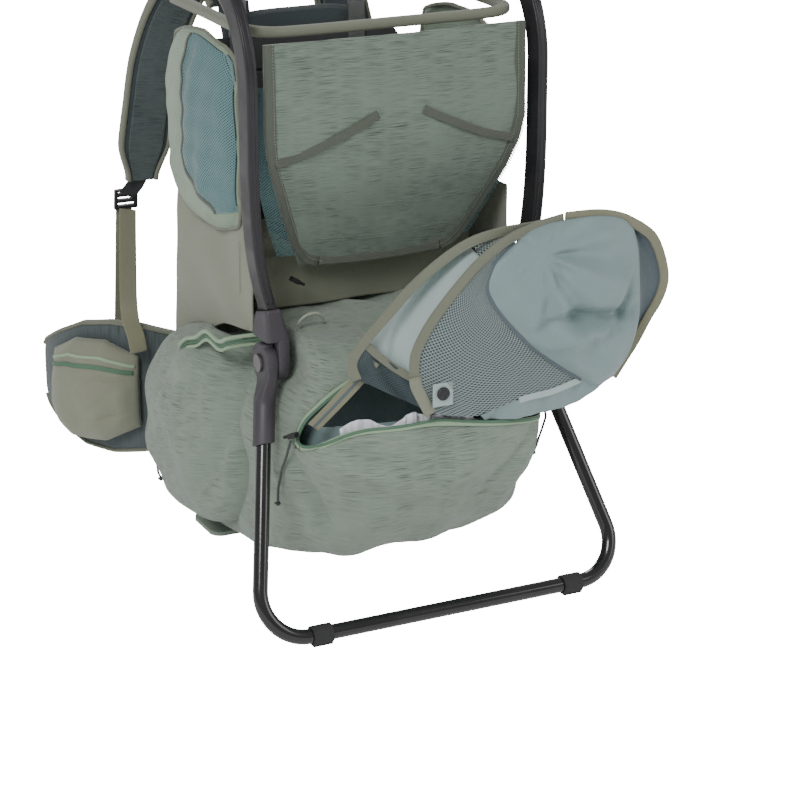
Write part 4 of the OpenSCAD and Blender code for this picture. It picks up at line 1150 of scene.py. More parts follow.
    def pocket(self, side: Side) -> None:
        """Makes a side pocket: a dome over a rounded outline, its piping and zip.

        A square from -1 to 1 is mapped to a rounded outline. With r the place from middle to rim,
        the dome's height is 54 mm times the root of 1 - r^3.
        """
        u, v = np.meshgrid(np.linspace(-1, 1, 130), np.linspace(-1, 1, 150))
        a = u * np.sqrt(1 - v * v / 2.6)
        b = v * np.sqrt(1 - u * u / 2.6)
        r = np.minimum((np.abs(a) ** 2.6 + np.abs(b) ** 2.6) ** (1 / 2.6), 1)
        x = 0.148 + 0.057 * np.sqrt(1 - np.minimum(r, 0.9999) ** 3)
        x = x - 0.034 * smoothstep(-a, 0.1, 0.9) * smoothstep(r, 0.80, 1.0)
        y = HUB[1] + 0.156 + 0.105 * a + 0.028 * ((x - 0.148) / 0.054) ** 2
        z = 0.152 + 0.116 * b - 0.16 * 0.098 * a
        grid = np.stack([x, y, z], 2)
        folds = (
            Crease([[178, -212, 196], [196, -150, 172], [202, -90, 150]], 0.004, 0.008),
            Crease([[176, -206, 184], [192, -150, 140], [196, -100, 108]], -0.004, 0.012),
            Crease([[170, -200, 170], [186, -150, 112], [184, -110, 82]], 0.005, 0.010),
            Crease([[182, -180, 240], [196, -120, 226], [200, -60, 200]], 0.003, 0.010),
            Crease([[180, -120, 250], [196, -90, 226], [202, -80, 190]], -0.0025, 0.010),
            Crease([[176, -70, 250], [194, -50, 220], [198, -30, 170]], 0.0025, 0.009),
            Crease([[190, -20, 190], [196, -50, 150], [196, -80, 100]], 0.002, 0.010),
        )
        move = 2.2 * sum(f.shift(grid) for f in folds) + ripples(grid, 11 + side.value, 0.16,
            0.0035) + ripples(grid, 7, 0.05, 0.0004)
        grid = grid - normals(grid) * (move * smoothstep(r, 1.0, 0.8))[..., None] * np.sign(normals(grid)[75,
            65, 0])
        grid = self.room_for_leg(grid)
        cloth = build(named(side, "side_pocket_cloth"), on(side, grid), flip=side is Side.RIGHT)
        thicken(cloth, 0.0014, -1)
        self.pad(cloth, HEATHER, "root", "heather_fabric", named(side, "side_pocket"), fill=0.3)
        rim = spline(mm([[186, -70, 250], [180, -98, 268], [176, -124, 278], [172, -157, 279], [168, -184,
            287], [162, -204, 284], [156, -216, 262], [152, -238, 238]]), 10)
        wave = spaced(rim, 160) + [0.004, 0, 0] + 0.002 * np.sin(np.linspace(0, 26, 160))[:,
            None] * np.array([0, 0.3, 1.0])
        wave = self.room_for_leg(wave[None])[0]
        pipe = tube(named(side, "side_zip_piping"), on(side, wave), disc_outline(0.0022, 16), (1, 0, 0))
        self.show(pipe, SAGE, "root", "zip_tape", "side_zips")
        for n, drop in enumerate((0.0052, 0.0098)):
            line = on(side, wave - [0.0012, 0, drop])
            stripe = ribbon(named(side, f"side_zip_stripe_{n}"), line, 0.0036, 0.0016, (side.value, 0, 0.4))
            self.show(stripe, (COIL, SAGE)[n], "root", "zip_tape")

    def room_for_leg(self, grid: Grid) -> Grid:
        """Presses cloth inwards where the folding leg and the hub pass, given for the right side."""
        back, down = grid[..., 1] - HUB[1], HUB[2] - grid[..., 2]
        reach = np.hypot(back, down)
        ahead = np.degrees(np.arctan2(back, down)) - np.degrees(np.arctan2(0.017, np.maximum(reach, 0.03)))
        limit = 0.1526 + reach * 0.2265 * 0.95 - 0.0165
        near = 1 - smoothstep(ahead, 25.0, 34.0)
        hub = 1 - smoothstep(np.hypot(back - 0.004, down), 0.034, 0.052)
        free = grid[..., 0]
        x = free - np.maximum(free - limit, 0) * near
        x = x - np.maximum(x - 0.128, 0) * hub
        return np.stack([x, grid[..., 1], grid[..., 2]], -1)

    def cords(self) -> None:
        """Makes the three thin pull cords, each with its knot, and coats the sliders."""
        routes = {
            "main_cord_left": [[-150, -278, 202], [-151, -275, 194], [-151, -270, 185], [-151, -264, 175],
                [-152, -258, 164], [-152, -253, 152], [-152, -248, 140], [-151, -244, 128], [-150, -241, 119]],
            "main_cord_right": [[150, -279, 188], [150, -281, 182], [148, -281, 175], [146, -280, 167], [144,
                -278, 158], [142, -276, 148], [140, -273, 139]],
            "side_cord": [[-189, 17, 98], [-189, 19, 90], [-188, 20, 80], [-187, 20, 70], [-184, 19, 61]],
        }
        bodies = {"main_cord_left": "main_slider_left", "main_cord_right": "main_slider_right",
            "side_cord": "root"}
        for node, route in routes.items():
            line = spaced(spline(mm(route), 10), 40)
            knot_at = line[-1]
            t = np.linspace(0, 2 * np.pi, 60, endpoint=False)
            trefoil = np.stack([np.sin(t) + 2 * np.sin(2 * t), np.cos(t) - 2 * np.cos(2 * t), -np.sin(3 * t)],
                1)
            knot_grid = sweep(knot_at + trefoil * 0.0009, disc_outline(0.0012, 10))
            knot = build(f"{node}_knot", knot_grid, Wrap.BOTH)
            self.show(knot, CORD, bodies[node], "cord")
            piece = tube(f"{node}_line", line, disc_outline(0.0014, 14), (0.3, 1, 0))
            self.show(piece, CORD, bodies[node], "cord", node)
        self.coat(SLIDER, "main_slider_left", "main_slider_right")
        self.coat(PLASTIC, "panel_slider")

    def shelf(self, shell: Grid) -> None:
        """Makes the bag's flat top, stretched between the four sides of the top ring and softly rumpled."""
        top = shell[-1]
        k = len(top) // 8
        rolled = np.roll(top, -k, 0)
        n = len(top)
        left, rear, right, front = (np.take(rolled, np.arange(s, e + 1), 0, mode="wrap") for s, e in ((0,
            n // 4), (n // 4, n // 2), (n // 2, 3 * n // 4), (3 * n // 4, n)))
        grid = coons(rear, front[::-1], left[::-1], right, 110, 110)
        edge = np.minimum(smoothstep(np.linspace(0, 1, 110), 0, 0.08), smoothstep(np.linspace(1, 0, 110), 0,
            0.08))
        lift = ripples(grid, 21, 0.09, 0.003) + ripples(grid, 22, 0.03, 0.0008) - 0.003
        grid[..., 2] += lift * edge[:, None] * edge[None]
        cloth = thicken(build("bag_shelf_cloth", grid, flip=True), 0.0012)
        self.show(cloth, HEATHER, "root", "heather_fabric")

    def build(self) -> None:
        """Makes every piece of the bag."""
        self.cords()
        shell = self.shell()
        cloth = self.opened(build("lower_bag_cloth", shell, Wrap.COLUMNS, flip=True))
        thicken(cloth, 0.0014, -1)
        self.show(cloth, HEATHER, "root", "heather_fabric", "lower_bag")
        # Painted light: the lining takes the paler hood cloth so the shaded inside of the mouth reads as lit.
        lining = self.opened(build("lower_bag_lining", self.shell(8, 160, 0.018, folded=False)[:-9],
            Wrap.COLUMNS), 0.03)
        self.show(lining, HOOD, "root", "liner_fabric")
        self.shelf(shell)
        self.zip_and_liner(shell)
        for side in Side:
            self.pocket(side)
        strap = spaced(spline(mm([[-134, -300, 222], [-114, -316, 251], [-93, -322, 274], [-78, -328, 294]]),
            10), 40)
        self.show(ribbon("retainer_strap", strap, 0.014, 0.0016, (0, -1, 0.2)), KHAKI, "root", "webbing",
            "retainer_webbing")
        self.show(ribbon("retainer_stripe", strap + [0, -0.0009, 0.0002], 0.003, 0.0009, (0, -1, 0.2)), SLATE,
            "root", "webbing")


def foam_block(name: str, half_x: float, y0: float, thick: float, low: float, high: float, power: float = 5,
    channels: Sequence = ()) -> bpy.types.Object:
    """Crowned pad standing in the XZ plane: rings of a superellipse that step from its back to its face.

    The face bulges by a quarter of its thickness and sinks along each channel's height.
    """
    t = np.concatenate([[0.0], np.linspace(0.02, 1, 40)])[:, None]
    a = np.linspace(0, 2 * np.pi, 160, endpoint=False)[None]
    r = np.where(t < 0.35, 0.9 + 0.1 * np.sin(np.pi * t / 0.7), 1.0) * np.where(t > 0.35,
        np.sqrt(1 - ((np.clip(t, 0.35, 1) - 0.35) / 0.65) ** 3.0), 1)
    x = half_x * r * spow(np.cos(a), power)
    z = (low + high) / 2 + (high - low) / 2 * r * spow(np.sin(a), power)
    depth = np.broadcast_to(np.minimum(t / 0.35, 1) * 0.72 + 0.28 * smoothstep(t, 0.35, 1), z.shape)
    for at in channels:
        depth = depth - 0.34 * hill(z, at, 0.004) * smoothstep(t, 0.3, 0.6)
    grid = np.stack([x, y0 + thick * depth, z], 2)
    return build(name, grid, Wrap.COLUMNS, True, inside_out(grid))


@dataclass
class Cockpit(Assembly):
    """Seat back, side walls, wings, rim, pads and the child's seat."""

    rows: Grid = field(default_factory=lambda: np.array([[356, 92, 50], [384, 104, 39], [415, 118, 27], [450,
        133, 12], [480, 144, 4], [505, 148, 0], [550, 148, 0], [604, 148, 2]], float))

    def back_grid(self, proud: float = 0.0, wide: float = 1.0, count: int = 120) -> Grid:
        """Seat back: at each height a shallow arch, x = half width times u, 8 mm deeper in the middle."""
        q = spaced(spline(self.rows, 10), 130) * 0.001
        u = np.linspace(-1, 1, count)[None]
        x = q[:, 1:2] * wide * u
        y = HUB[1] + q[:, 2:3] - 0.008 * (1 - u * u) - proud
        grid = np.stack([x, y, np.broadcast_to(q[:, :1], x.shape)], 2)
        grid[..., 1] += ripples(grid, 31, 0.08, 0.0012)
        return grid

    def line_on_back(self, points: Sequence, proud: float = 0.0012, count: int = 120) -> Grid:
        """Lays a line given as share across and height in mm on the seat back."""
        p = spaced(spline(np.asarray(points, float), 10), count)
        half, deep = (np.interp(p[:, 1], self.rows[:, 0], self.rows[:, k]) * 0.001 for k in (1, 2))
        y = HUB[1] + deep - 0.008 * (1 - p[:, 0] ** 2) - proud
        return np.stack([p[:, 0] * half, y, p[:, 1] * 0.001], 1)

    def seat_back(self) -> None:
        """Makes the seat back with its bindings, seams, net edges and corner flaps."""
        cloth = thicken(build("seat_back_cloth", self.back_grid()), 0.005, 0)
        self.pad(cloth, SEAT_HEATHER, "root", "heather_fabric", "seat_back_panel", fill=0.4)
        for n, (a, b) in enumerate(((-0.9, 0.86), (-0.86, 0.8))):
            height = (422, 384)[n]
            for row in (0, 3.2):
                line = self.line_on_back([[a, height + row], [0, height + row - 3], [b, height + row]], 0.0034)
                self.show(stitches(f"seat_back_seam_{n}_{int(row)}", line), THREAD, "root", "heather_fabric")
        for side in Side:
            s = side.value
            rim = self.line_on_back([[s * 0.97, 604], [s * 0.97, 520], [s * 0.97, 440], [s * 0.97, 400],
                [s * 0.96, 380], [s * 0.9, 364], [s * 0.78, 359]], 0.003)
            band = ribbon(named(side, "seat_back_binding"), rim, 0.011, 0.0046, (0, -1, 0))
            self.show(band, EDGE, "root", "binding")
            self.show(stitches(named(side, "seat_back_binding_seam"), rim + [-s * 0.0035, -0.0026, 0]),
                THREAD, "root", "binding")
            q = self.line_on_back([[s * 1.0, 560], [s * 1.0, 470], [s * 1.0, 400], [s * 0.98, 366]], -0.002, 50)
            out = q + np.stack([s * np.interp(np.linspace(0, 1, 50), [0, 0.5, 1], [0.004, 0.014, 0.020]),
                0.006 + 0 * q[:, 0], 0 * q[:, 0]], 1)
            net = build(named(side, "seat_back_net"), np.linspace(q, out, 8))
            self.show(net, TEAL_NET, "root", "liner_fabric")
            flap = self.line_on_back([[s * 0.95, 480], [s * 0.66, 492], [s * 0.34, 512], [s * 0.18, 524]],
                0.004)
            self.show(ribbon(named(side, "corner_flap_binding"), flap, 0.009, 0.003, (0, -1, 0)), EDGE,
                "root", "binding")
        foot = self.line_on_back([[-0.76, 359], [-0.3, 358], [0.3, 358], [0.76, 359]], 0.003)
        self.show(ribbon("seat_back_foot_binding", foot, 0.009, 0.0044, (0, -1, 0.1)), EDGE, "root", "binding")
        self.coat(PLASTIC, "child_buckle")
        x = np.linspace(-0.126, 0.126, 120)
        z = np.linspace(0.3008, 0.3590, 30)
        xx, zz = np.meshgrid(x, z)
        yy = HUB[1] + 0.0765 - 0.003 * np.sin((zz - 0.3008) / 0.0582 * np.pi) + 0.0016 * np.cos(xx * 60)
        ring = np.stack([xx, yy, zz], 2)
        back = ring[::-1]
        front = np.stack([back[..., 0], np.full(back.shape[:2], -0.0015), back[..., 2]], 2)
        block = build("seat_band_cloth", np.concatenate([ring, front]), Wrap.ROWS)
        self.show(block, OLIVE, "root", "plain_fabric", "seat_band")
        for n, at in enumerate((-0.062, -0.030, 0.040)):
            line = np.stack([np.full(30, at), np.interp(z, z, yy[:, 60]) - 0.0016, z], 1)
            self.show(stitches(f"band_seam_{n}", line), THREAD, "root", "plain_fabric")
        web = np.stack([np.full(30, -0.046), yy[:, 60] - 0.0014, z], 1)
        self.show(ribbon("band_webbing", web, 0.026, 0.0016, (0, -1, 0)), KHAKI, "root", "webbing")

    def walls(self) -> None:
        """Makes the plain side walls, the bulging wings with their nets, and the rim."""
        for side in Side:
            outline_low = spline(mm([[150, -180, 292], [150, -100, 278], [150, -50, 252], [150, 10, 232],
                [149, 46, 222]]), 8)
            outline_top = mm([[147, -190, 420], [147, 29, 420]])
            grid = coons(outline_low, outline_top, mm([[150, -180, 292], [150, -190, 346], [147, -190, 420]]),
                mm([[149, 46, 222], [150, 36, 300], [147, 29, 420]]), 80, 100)
            grid[..., 0] += 0.0045 * smoothstep(grid[..., 2], 0.384, 0.330) * np.sin(np.linspace(0, np.pi,
                80))[:, None] * np.sin(np.linspace(0.3, np.pi, 100))[None] + ripples(grid, 41, 0.1, 0.0012)
            wall = thicken(build(named(side, "side_wall_cloth"), on(side, grid)), 0.0016)
            self.show(wall, OLIVE, "root", "plain_fabric", named(side, "side_panel"))
            for n, y in enumerate((-0.158, -0.1565)):
                seam = np.stack([np.full(60, 0.1535), np.full(60, y), np.linspace(0.330, 0.384, 60)], 1)
                self.show(stitches(named(side, f"side_wall_seam_{n}"), on(side, seam)), THREAD, "root",
                    "plain_fabric")
            self.wing(side)
        loop = spline(mm([[-150, 17, 612], [-150, -73, 612], [-150, -159, 612], [-136, -194, 612], [-100,
            -204, 612], [0, -205, 612], [100, -204, 612], [136, -194, 612], [150, -159, 612], [150, -73,
            612], [150, 17, 612]]), 12)
        rim = tube("cockpit_rim_roll", spaced(loop, 160), box_outline(0.013, 0.011, 24, 3))
        self.pad(rim, BINDING, "root", "binding", "cockpit_rim", fill=0.7)
        loop_at = np.array([-0.094, -0.206, 0.302])
        a = np.linspace(0, np.pi, 30)
        arch = np.stack([0.014 * np.cos(a), 0.005 * np.sin(a), 0.012 * np.sin(a)], 1) * [1, -1, 1]
        gear = tube("gear_loop", loop_at + arch + [0, 0, -0.001], disc_outline(0.0016, 12), (0, 1, 0.2))
        self.show(gear, PALE_CORD, "root", "cord", "cord_loop")

    def wing(self, side: Side) -> None:
        """Makes one bulging wing: ripstop in front, net behind, with a seam and binding between."""
        u, v = np.meshgrid(np.linspace(-1, 1, 110), np.linspace(-1, 1, 120))
        a, b = u * np.sqrt(1 - v * v / 3.6), v * np.sqrt(1 - u * u / 3.6)
        r = np.minimum((np.abs(a) ** 3 + np.abs(b) ** 3) ** (1 / 3), 1)
        x = 0.150 + 0.0235 * np.sqrt(1 - np.minimum(r, 0.9999) ** 2.6)
        y, z = HUB[1] + 0.152 + 0.098 * a, 0.488 + 0.104 * b
        grid = np.stack([x, y, z], 2)
        grid[..., 0] += (ripples(grid, 51 + side.value, 0.07, 0.0022)) * smoothstep(r, 1.0, 0.8)
        self.pad(thicken(build(named(side, "wing_cloth"), on(side, grid)), 0.0012), RIPSTOP, "root",
            "ripstop_fabric", named(side, "wing"), fill=0.3)
        rise = np.linspace(-0.80, 0.97, 90)
        reach = 0.10 - 0.75 * smoothstep(rise, -0.35, -0.85) + 0.05 * rise
        rows, columns = np.broadcast_to(rise[:, None], (90, 70)), -0.985 + (reach[:,
            None] + 0.985) * np.linspace(0, 1, 70)[None]
        i, j = (rows + 1) / 2 * 119, (columns + 1) / 2 * 109
        i0, j0 = np.minimum(i.astype(int), 118), np.minimum(j.astype(int), 108)
        fi, fj = (i - i0)[..., None], (j - j0)[..., None]
        patch = (grid[i0, j0] * (1 - fi) + grid[i0 + 1, j0] * fi) * (1 - fj) + (grid[i0,
            j0 + 1] * (1 - fi) + grid[i0 + 1, j0 + 1] * fi) * fj
        self.show(build(named(side, "wing_net_backing"), on(side, patch + [0.0012, 0, 0])), DEEP_TEAL, "root",
            "liner_fabric")
        self.show(build(named(side, "wing_net"), on(side, patch + [0.0030, 0, 0])), TEAL_NET, "root",
            "liner_fabric")
        seam = patch[:, -1] + [0.0032, 0, 0]
        self.show(ribbon(named(side, "wing_binding"), on(side, seam), 0.0042, 0.0018, (side.value, 0, 0)),
            EDGE, "root", "binding")
        loop = np.concatenate([grid[0, 1:-1], grid[1:-1, -1], grid[-1, 1:-1][::-1], grid[1:-1, 0][::-1]])
        hem = sweep(spaced(loop, 220)[:-1], disc_outline(0.0022, 10), (1, 0, 0))
        self.show(build(named(side, "wing_hem"), on(side, hem), Wrap.BOTH), BINDING, "root", "binding")

    def pads(self) -> None:
        """Makes the back and lumbar pads, the chin pad and the child's seat with its straps."""
        y = 0.0354
        self.pad(foam_block("back_pad_foam", 0.112, y, 0.0145, 0.262, 0.500, 5, (0.32, 0.38, 0.44)), PAD,
            "root", "pad_fabric", "back_pad")
        self.pad(foam_block("lumbar_pad_foam", 0.132, y, 0.020, 0.084, 0.244, 5, (0.124, 0.164, 0.204)), PAD,
            "root", "pad_fabric", "lumbar_pad")
        self.pad(foam_block("yoke_foam", 0.084, y + 0.0012, 0.0122, 0.514, 0.586, 4), PAD, "harness",
            "pad_fabric", "yoke")
        t = np.linspace(-1, 1, 60)
        swell = np.maximum(1 - np.abs(t) ** 8, 0.05) ** 0.35
        chin = tube("drool_pad_roll", np.stack([0.104 * t, 0 * t - 0.009, 0 * t + 0.6909], 1),
            box_outline(0.026, 0.050, 48, 3), (0, 0, 1), swell)
        self.pad(chin, HEATHER, "root", "heather_fabric", "drool_pad", fill=0.8)
        a = np.linspace(0, 2 * np.pi, 140, endpoint=False)[None]
        p = np.linspace(0, 1, 40)[:, None]
        reach = np.where(p < 0.3, 0.86 + 0.14 * np.sin(np.pi * p / 0.6),
            np.sqrt(np.maximum(1 - ((p - 0.3) / 0.7) ** 2.6, 0.0)))
        top = 0.340 + 0.028 * (np.minimum(p / 0.3, 1) * 0.55 + 0.45 * smoothstep(p, 0.3, 1))
        grid = np.stack([0.074 * reach * spow(np.cos(a), 3), -0.070 + 0.066 * reach * spow(np.sin(a), 3),
            np.broadcast_to(top, (40, 140))], 2)
        self.pad(build("seat_cushion_foam", grid, Wrap.COLUMNS, True, inside_out(grid)), PAD, "child_seat",
            "pad_fabric", "seat_cushion")
        for side in Side:
            line = spline(mm([[40, -188, 552], [44, -170, 574], [46, -134, 566], [44, -104, 520], [34, -92,
                470], [23, -88, 430]]), 10)
            strap = ribbon(named(side, "child_strap"), on(side, spaced(line, 60)), 0.024, 0.003, (0, -1, 0.3))
            self.show(strap, DARK_WEB, "child_seat", "dark_webbing", *(("child_harness",
                ) if side is Side.LEFT else ()))

    def build(self) -> None:
        """Makes every piece of the cockpit."""
        self.seat_back()
        self.walls()
        self.pads()


@dataclass
class Harness(Assembly):
    """Shoulder straps with their locks and webbing, sternum strap, grab handle and hip belt."""

    lock: tuple = (0.158, 0.1754, 0.352)

    def shoulder(self, side: Side) -> None:
        """Makes one shoulder strap, its binding and its two webbing strands."""
        line = mm([[64, 61.4, 596], [72, 83.4, 622], [84, 117.4, 620], [104, 145.4, 576], [122, 155.4, 520],
            [134, 153.4, 462], [140, 157.4, 416], [142, 163.4, 376]])
        path = spaced(spline(line, 10), 120)
        t = np.linspace(0, 1, 120)
        swell = 1 - 0.42 * smoothstep(t, 0.86, 1.0)
        grid = sweep(path, box_outline(0.011, 0.058, 56, 3.4), (1, 0, 0), swell)
        strap = build(named(side, "shoulder_pad"), on(side, grid), Wrap.COLUMNS, True, inside_out(on(side,
            grid)))
        self.pad(strap, PAD, "harness", "pad_fabric", named(side, "shoulder_strap"))
        root = tube(named(side, "shoulder_root"), on(side, mm([[64, 46, 548], [64, 56, 570], [64, 63, 594]])),
            box_outline(0.036, 0.008, 24, 5), (0, 1, 0))
        self.show(root, PAD, "harness", "pad_fabric")
        for s in (-1, 1):
            rim = sweep(path, np.array([[0.0, s * 0.0285]]), (1, 0, 0), swell)[:, 0]
            edge = tube(named(side, f"shoulder_binding_{'inner' if s < 0 else 'outer'}"), on(side, rim),
                box_outline(0.0125, 0.0058, 20, 3), (1, 0, 0))
            self.show(edge, BINDING, "harness", "binding")
        face = sweep(path, np.stack([np.full(24, 0.0057), np.linspace(-0.021, 0.021, 24)], 1), (1, 0, 0), swell)
        other = sweep(path, np.stack([np.full(24, -0.0057), np.linspace(-0.021, 0.021, 24)], 1), (1, 0, 0),
            swell)
        for name, sheet in (("shoulder_net", face), ("shoulder_face", other)):
            self.show(thicken(build(named(side, name), on(side, sheet)), 0.0006), CHARCOAL, "harness",
                "pad_fabric")
        lock = np.array(self.lock)
        tongue = spaced(mm([[141, 161, 388], [148, 168, 370], [157, 174, 356]]), 30)
        self.show(ribbon(named(side, "strap_tongue"), on(side, tongue), 0.022, 0.003, (0, 1, 0.4)), DARK_WEB,
            "harness", "dark_webbing")
        tail = spaced(spline(lock + mm([[1, 5, -10], [4, 6, -80], [9, 4, -160], [14, 2, -238]]), 10), 90)
        strand = spaced(spline(lock + mm([[0, -5, -12], [12, -34, -52], [32, -86, -90], [44, -124, -106], [44,
            -140, -122], [42, -142, -140]]), 10), 90)
        one = tube("tail", on(side, tail), box_outline(0.0016, 0.020, 20, 6), (1, 0, 0))
        two = tube("strand", on(side, strand), box_outline(0.0016, 0.020, 20, 6), (1, 0, 0))
        hem = tube("hem", on(side, tail[-9:]), box_outline(0.0038, 0.0204, 20, 4), (1, 0, 0))
        both = joined(named(side, "lock_webbing"), [one, two, hem])
        self.show(both, KHAKI, "harness", "webbing", named(side, "strap_webbing"))

    def hip(self, side: Side) -> None:
        """Makes one hip wing with its bindings, pocket, zip and piping."""
        body, word = named(side, "hip"), named(side, "hip_wing")
        line = mm([[152, 46, 158], [182, 61, 158], [212, 85, 157], [238, 119, 156], [254, 157, 156], [258,
            185, 156]])
        path = spaced(spline(line, 12), 90)
        t = np.linspace(0, 1, 90)
        high = np.interp(t, np.linspace(0, 1, 6), mm([132, 150, 156, 146, 112, 70]))
        high *= 1 - 0.10 * smoothstep(t, 0.96, 1.0)
        a = np.linspace(0, 2 * np.pi, 72, endpoint=False)
        tangent = unit(np.gradient(path, axis=0))
        side_v = unit(np.cross(tangent, [0, 0, 1.0]))
        thick = 0.0065 * (1 - 0.3 * smoothstep(t, 0.95, 1))
        grid = path[:, None] + side_v[:, None] * (thick[:, None] * spow(np.cos(a), 4))[...,
            None] + np.array([0, 0, 1.0]) * (high[:, None] / 2 * spow(np.sin(a), 4))[..., None]
        wing = build(f"{word}_foam", on(side, grid), Wrap.COLUMNS, True, inside_out(on(side, grid)))
        self.pad(wing, CHARCOAL, body, "pad_fabric", word)
        for s in (-1, 1):
            edge = path + np.array([0, 0, 1.0]) * (s * high / 2)[:, None]
            self.show(tube(f"{word}_binding_{'low' if s < 0 else 'top'}", on(side, edge), box_outline(0.0122,
                0.005, 20, 3), (0, 0, 1)), BINDING, body, "binding")
        t = np.linspace(0, 1, 80)
        base = spaced(spline(mm([[199, 46, 158], [229, 70, 157], [255, 102, 156], [271, 139, 156]]), 12), 80)
        bulge = np.sin(np.pi * np.clip(t, 0.0, 1)) ** 0.5
        half = np.interp(t, [0, 0.33, 0.67, 1], mm([42, 60, 59, 38]))
        b = np.linspace(-1, 1, 60)[None]
        out = -unit(np.cross(unit(np.gradient(base, axis=0)), [0, 0, 1.0]))
        out *= np.sign(out[:, :1])
        depth = 0.029 * bulge[:, None] * (1 - np.abs(b) ** 2.6) ** 0.5 * (1 - 0.25 * b)
        depth = depth - 0.0035 * (hill(b, 0.35, 0.05) + hill(b, -0.45, 0.06)) * bulge[:, None] * hill(t[:,
            None], 0.2, 0.2)
        skin = base[:, None] - out[:, None] * 0.0085 + out[:, None] * depth[..., None] + np.array([0, 0,
            1.0]) * (half[:, None] * b)[..., None]
        skin += out[:, None] * (ripples(skin, 61, 0.05, 0.0016) * bulge[:, None] * (1 - b**4))[..., None]
        pocket = thicken(build(named(side, "belt_pocket_cloth"), on(side, skin)), 0.0014)
        self.show(pocket, OLIVE, body, "plain_fabric", named(side, "belt_pocket"))
        zip_row = skin[3:-3, 46] + out[3:-3] * 0.001
        self.show(ribbon(named(side, "belt_pocket_zip"), on(side, zip_row), 0.005, 0.0022, (side.value, -0.4,
            0.3)), COIL, body, "zip_tape")
        lid = skin[2:-2, 51] + out[2:-2] * 0.0008
        self.show(ribbon(named(side, "belt_pocket_piping"), on(side, lid), 0.0035, 0.0018, (side.value, -0.4,
            0.3)), SAGE, body, "zip_tape")

    def build(self) -> None:
        """Makes every piece of the harness."""
        for side in Side:
            self.shoulder(side)
            self.hip(side)
        self.coat(PLASTIC, "ladder_locks", "hip_buckle_socket", "hip_buckle_plug", "sternum_strap")
        arc = spline(mm([[-46, 0, 11.5], [-42, 0, 28], [-20, 0, 38], [20, 0, 38], [42, 0, 28], [46, 0,
            11.5]]), 12)
        turn = math.radians(38)
        arc = np.stack([arc[:, 0], 0.017 - arc[:, 2] * math.sin(turn), 0.7169 + arc[:, 2] * math.cos(turn)], 1)
        handle = [tube("grip", spaced(arc, 70), box_outline(0.016, 0.005, 28, 4), (0, -math.sin(turn),
            math.cos(turn)))]
        for s in (-1, 1):
            a = np.linspace(0, 2 * np.pi, 48, endpoint=False)
            x = s * (0.046 + np.array([-0.009, -0.0085, -0.007, 0.007, 0.0085, 0.009]))
            r = np.array([0.0101, 0.0126, 0.013, 0.013, 0.0126, 0.0101])[:, None]
            ring = np.stack([np.broadcast_to(x[:, None], (6, 48)), 0.017 + r * np.cos(a),
                0.7169 + r * np.sin(a)], 2)
            inner = np.stack([ring[..., 0], 0.017 + 0.01008 * np.cos(a) + 0 * r,
                0.7169 + 0.01008 * np.sin(a) + 0 * r], 2)[::-1]
            handle.append(build("collar", np.concatenate([ring, inner]), Wrap.BOTH, flip=s < 0))
        self.show(joined("grab_handle_loop", handle), DARK_WEB, "grab_handle", "dark_webbing", "grab_handle")


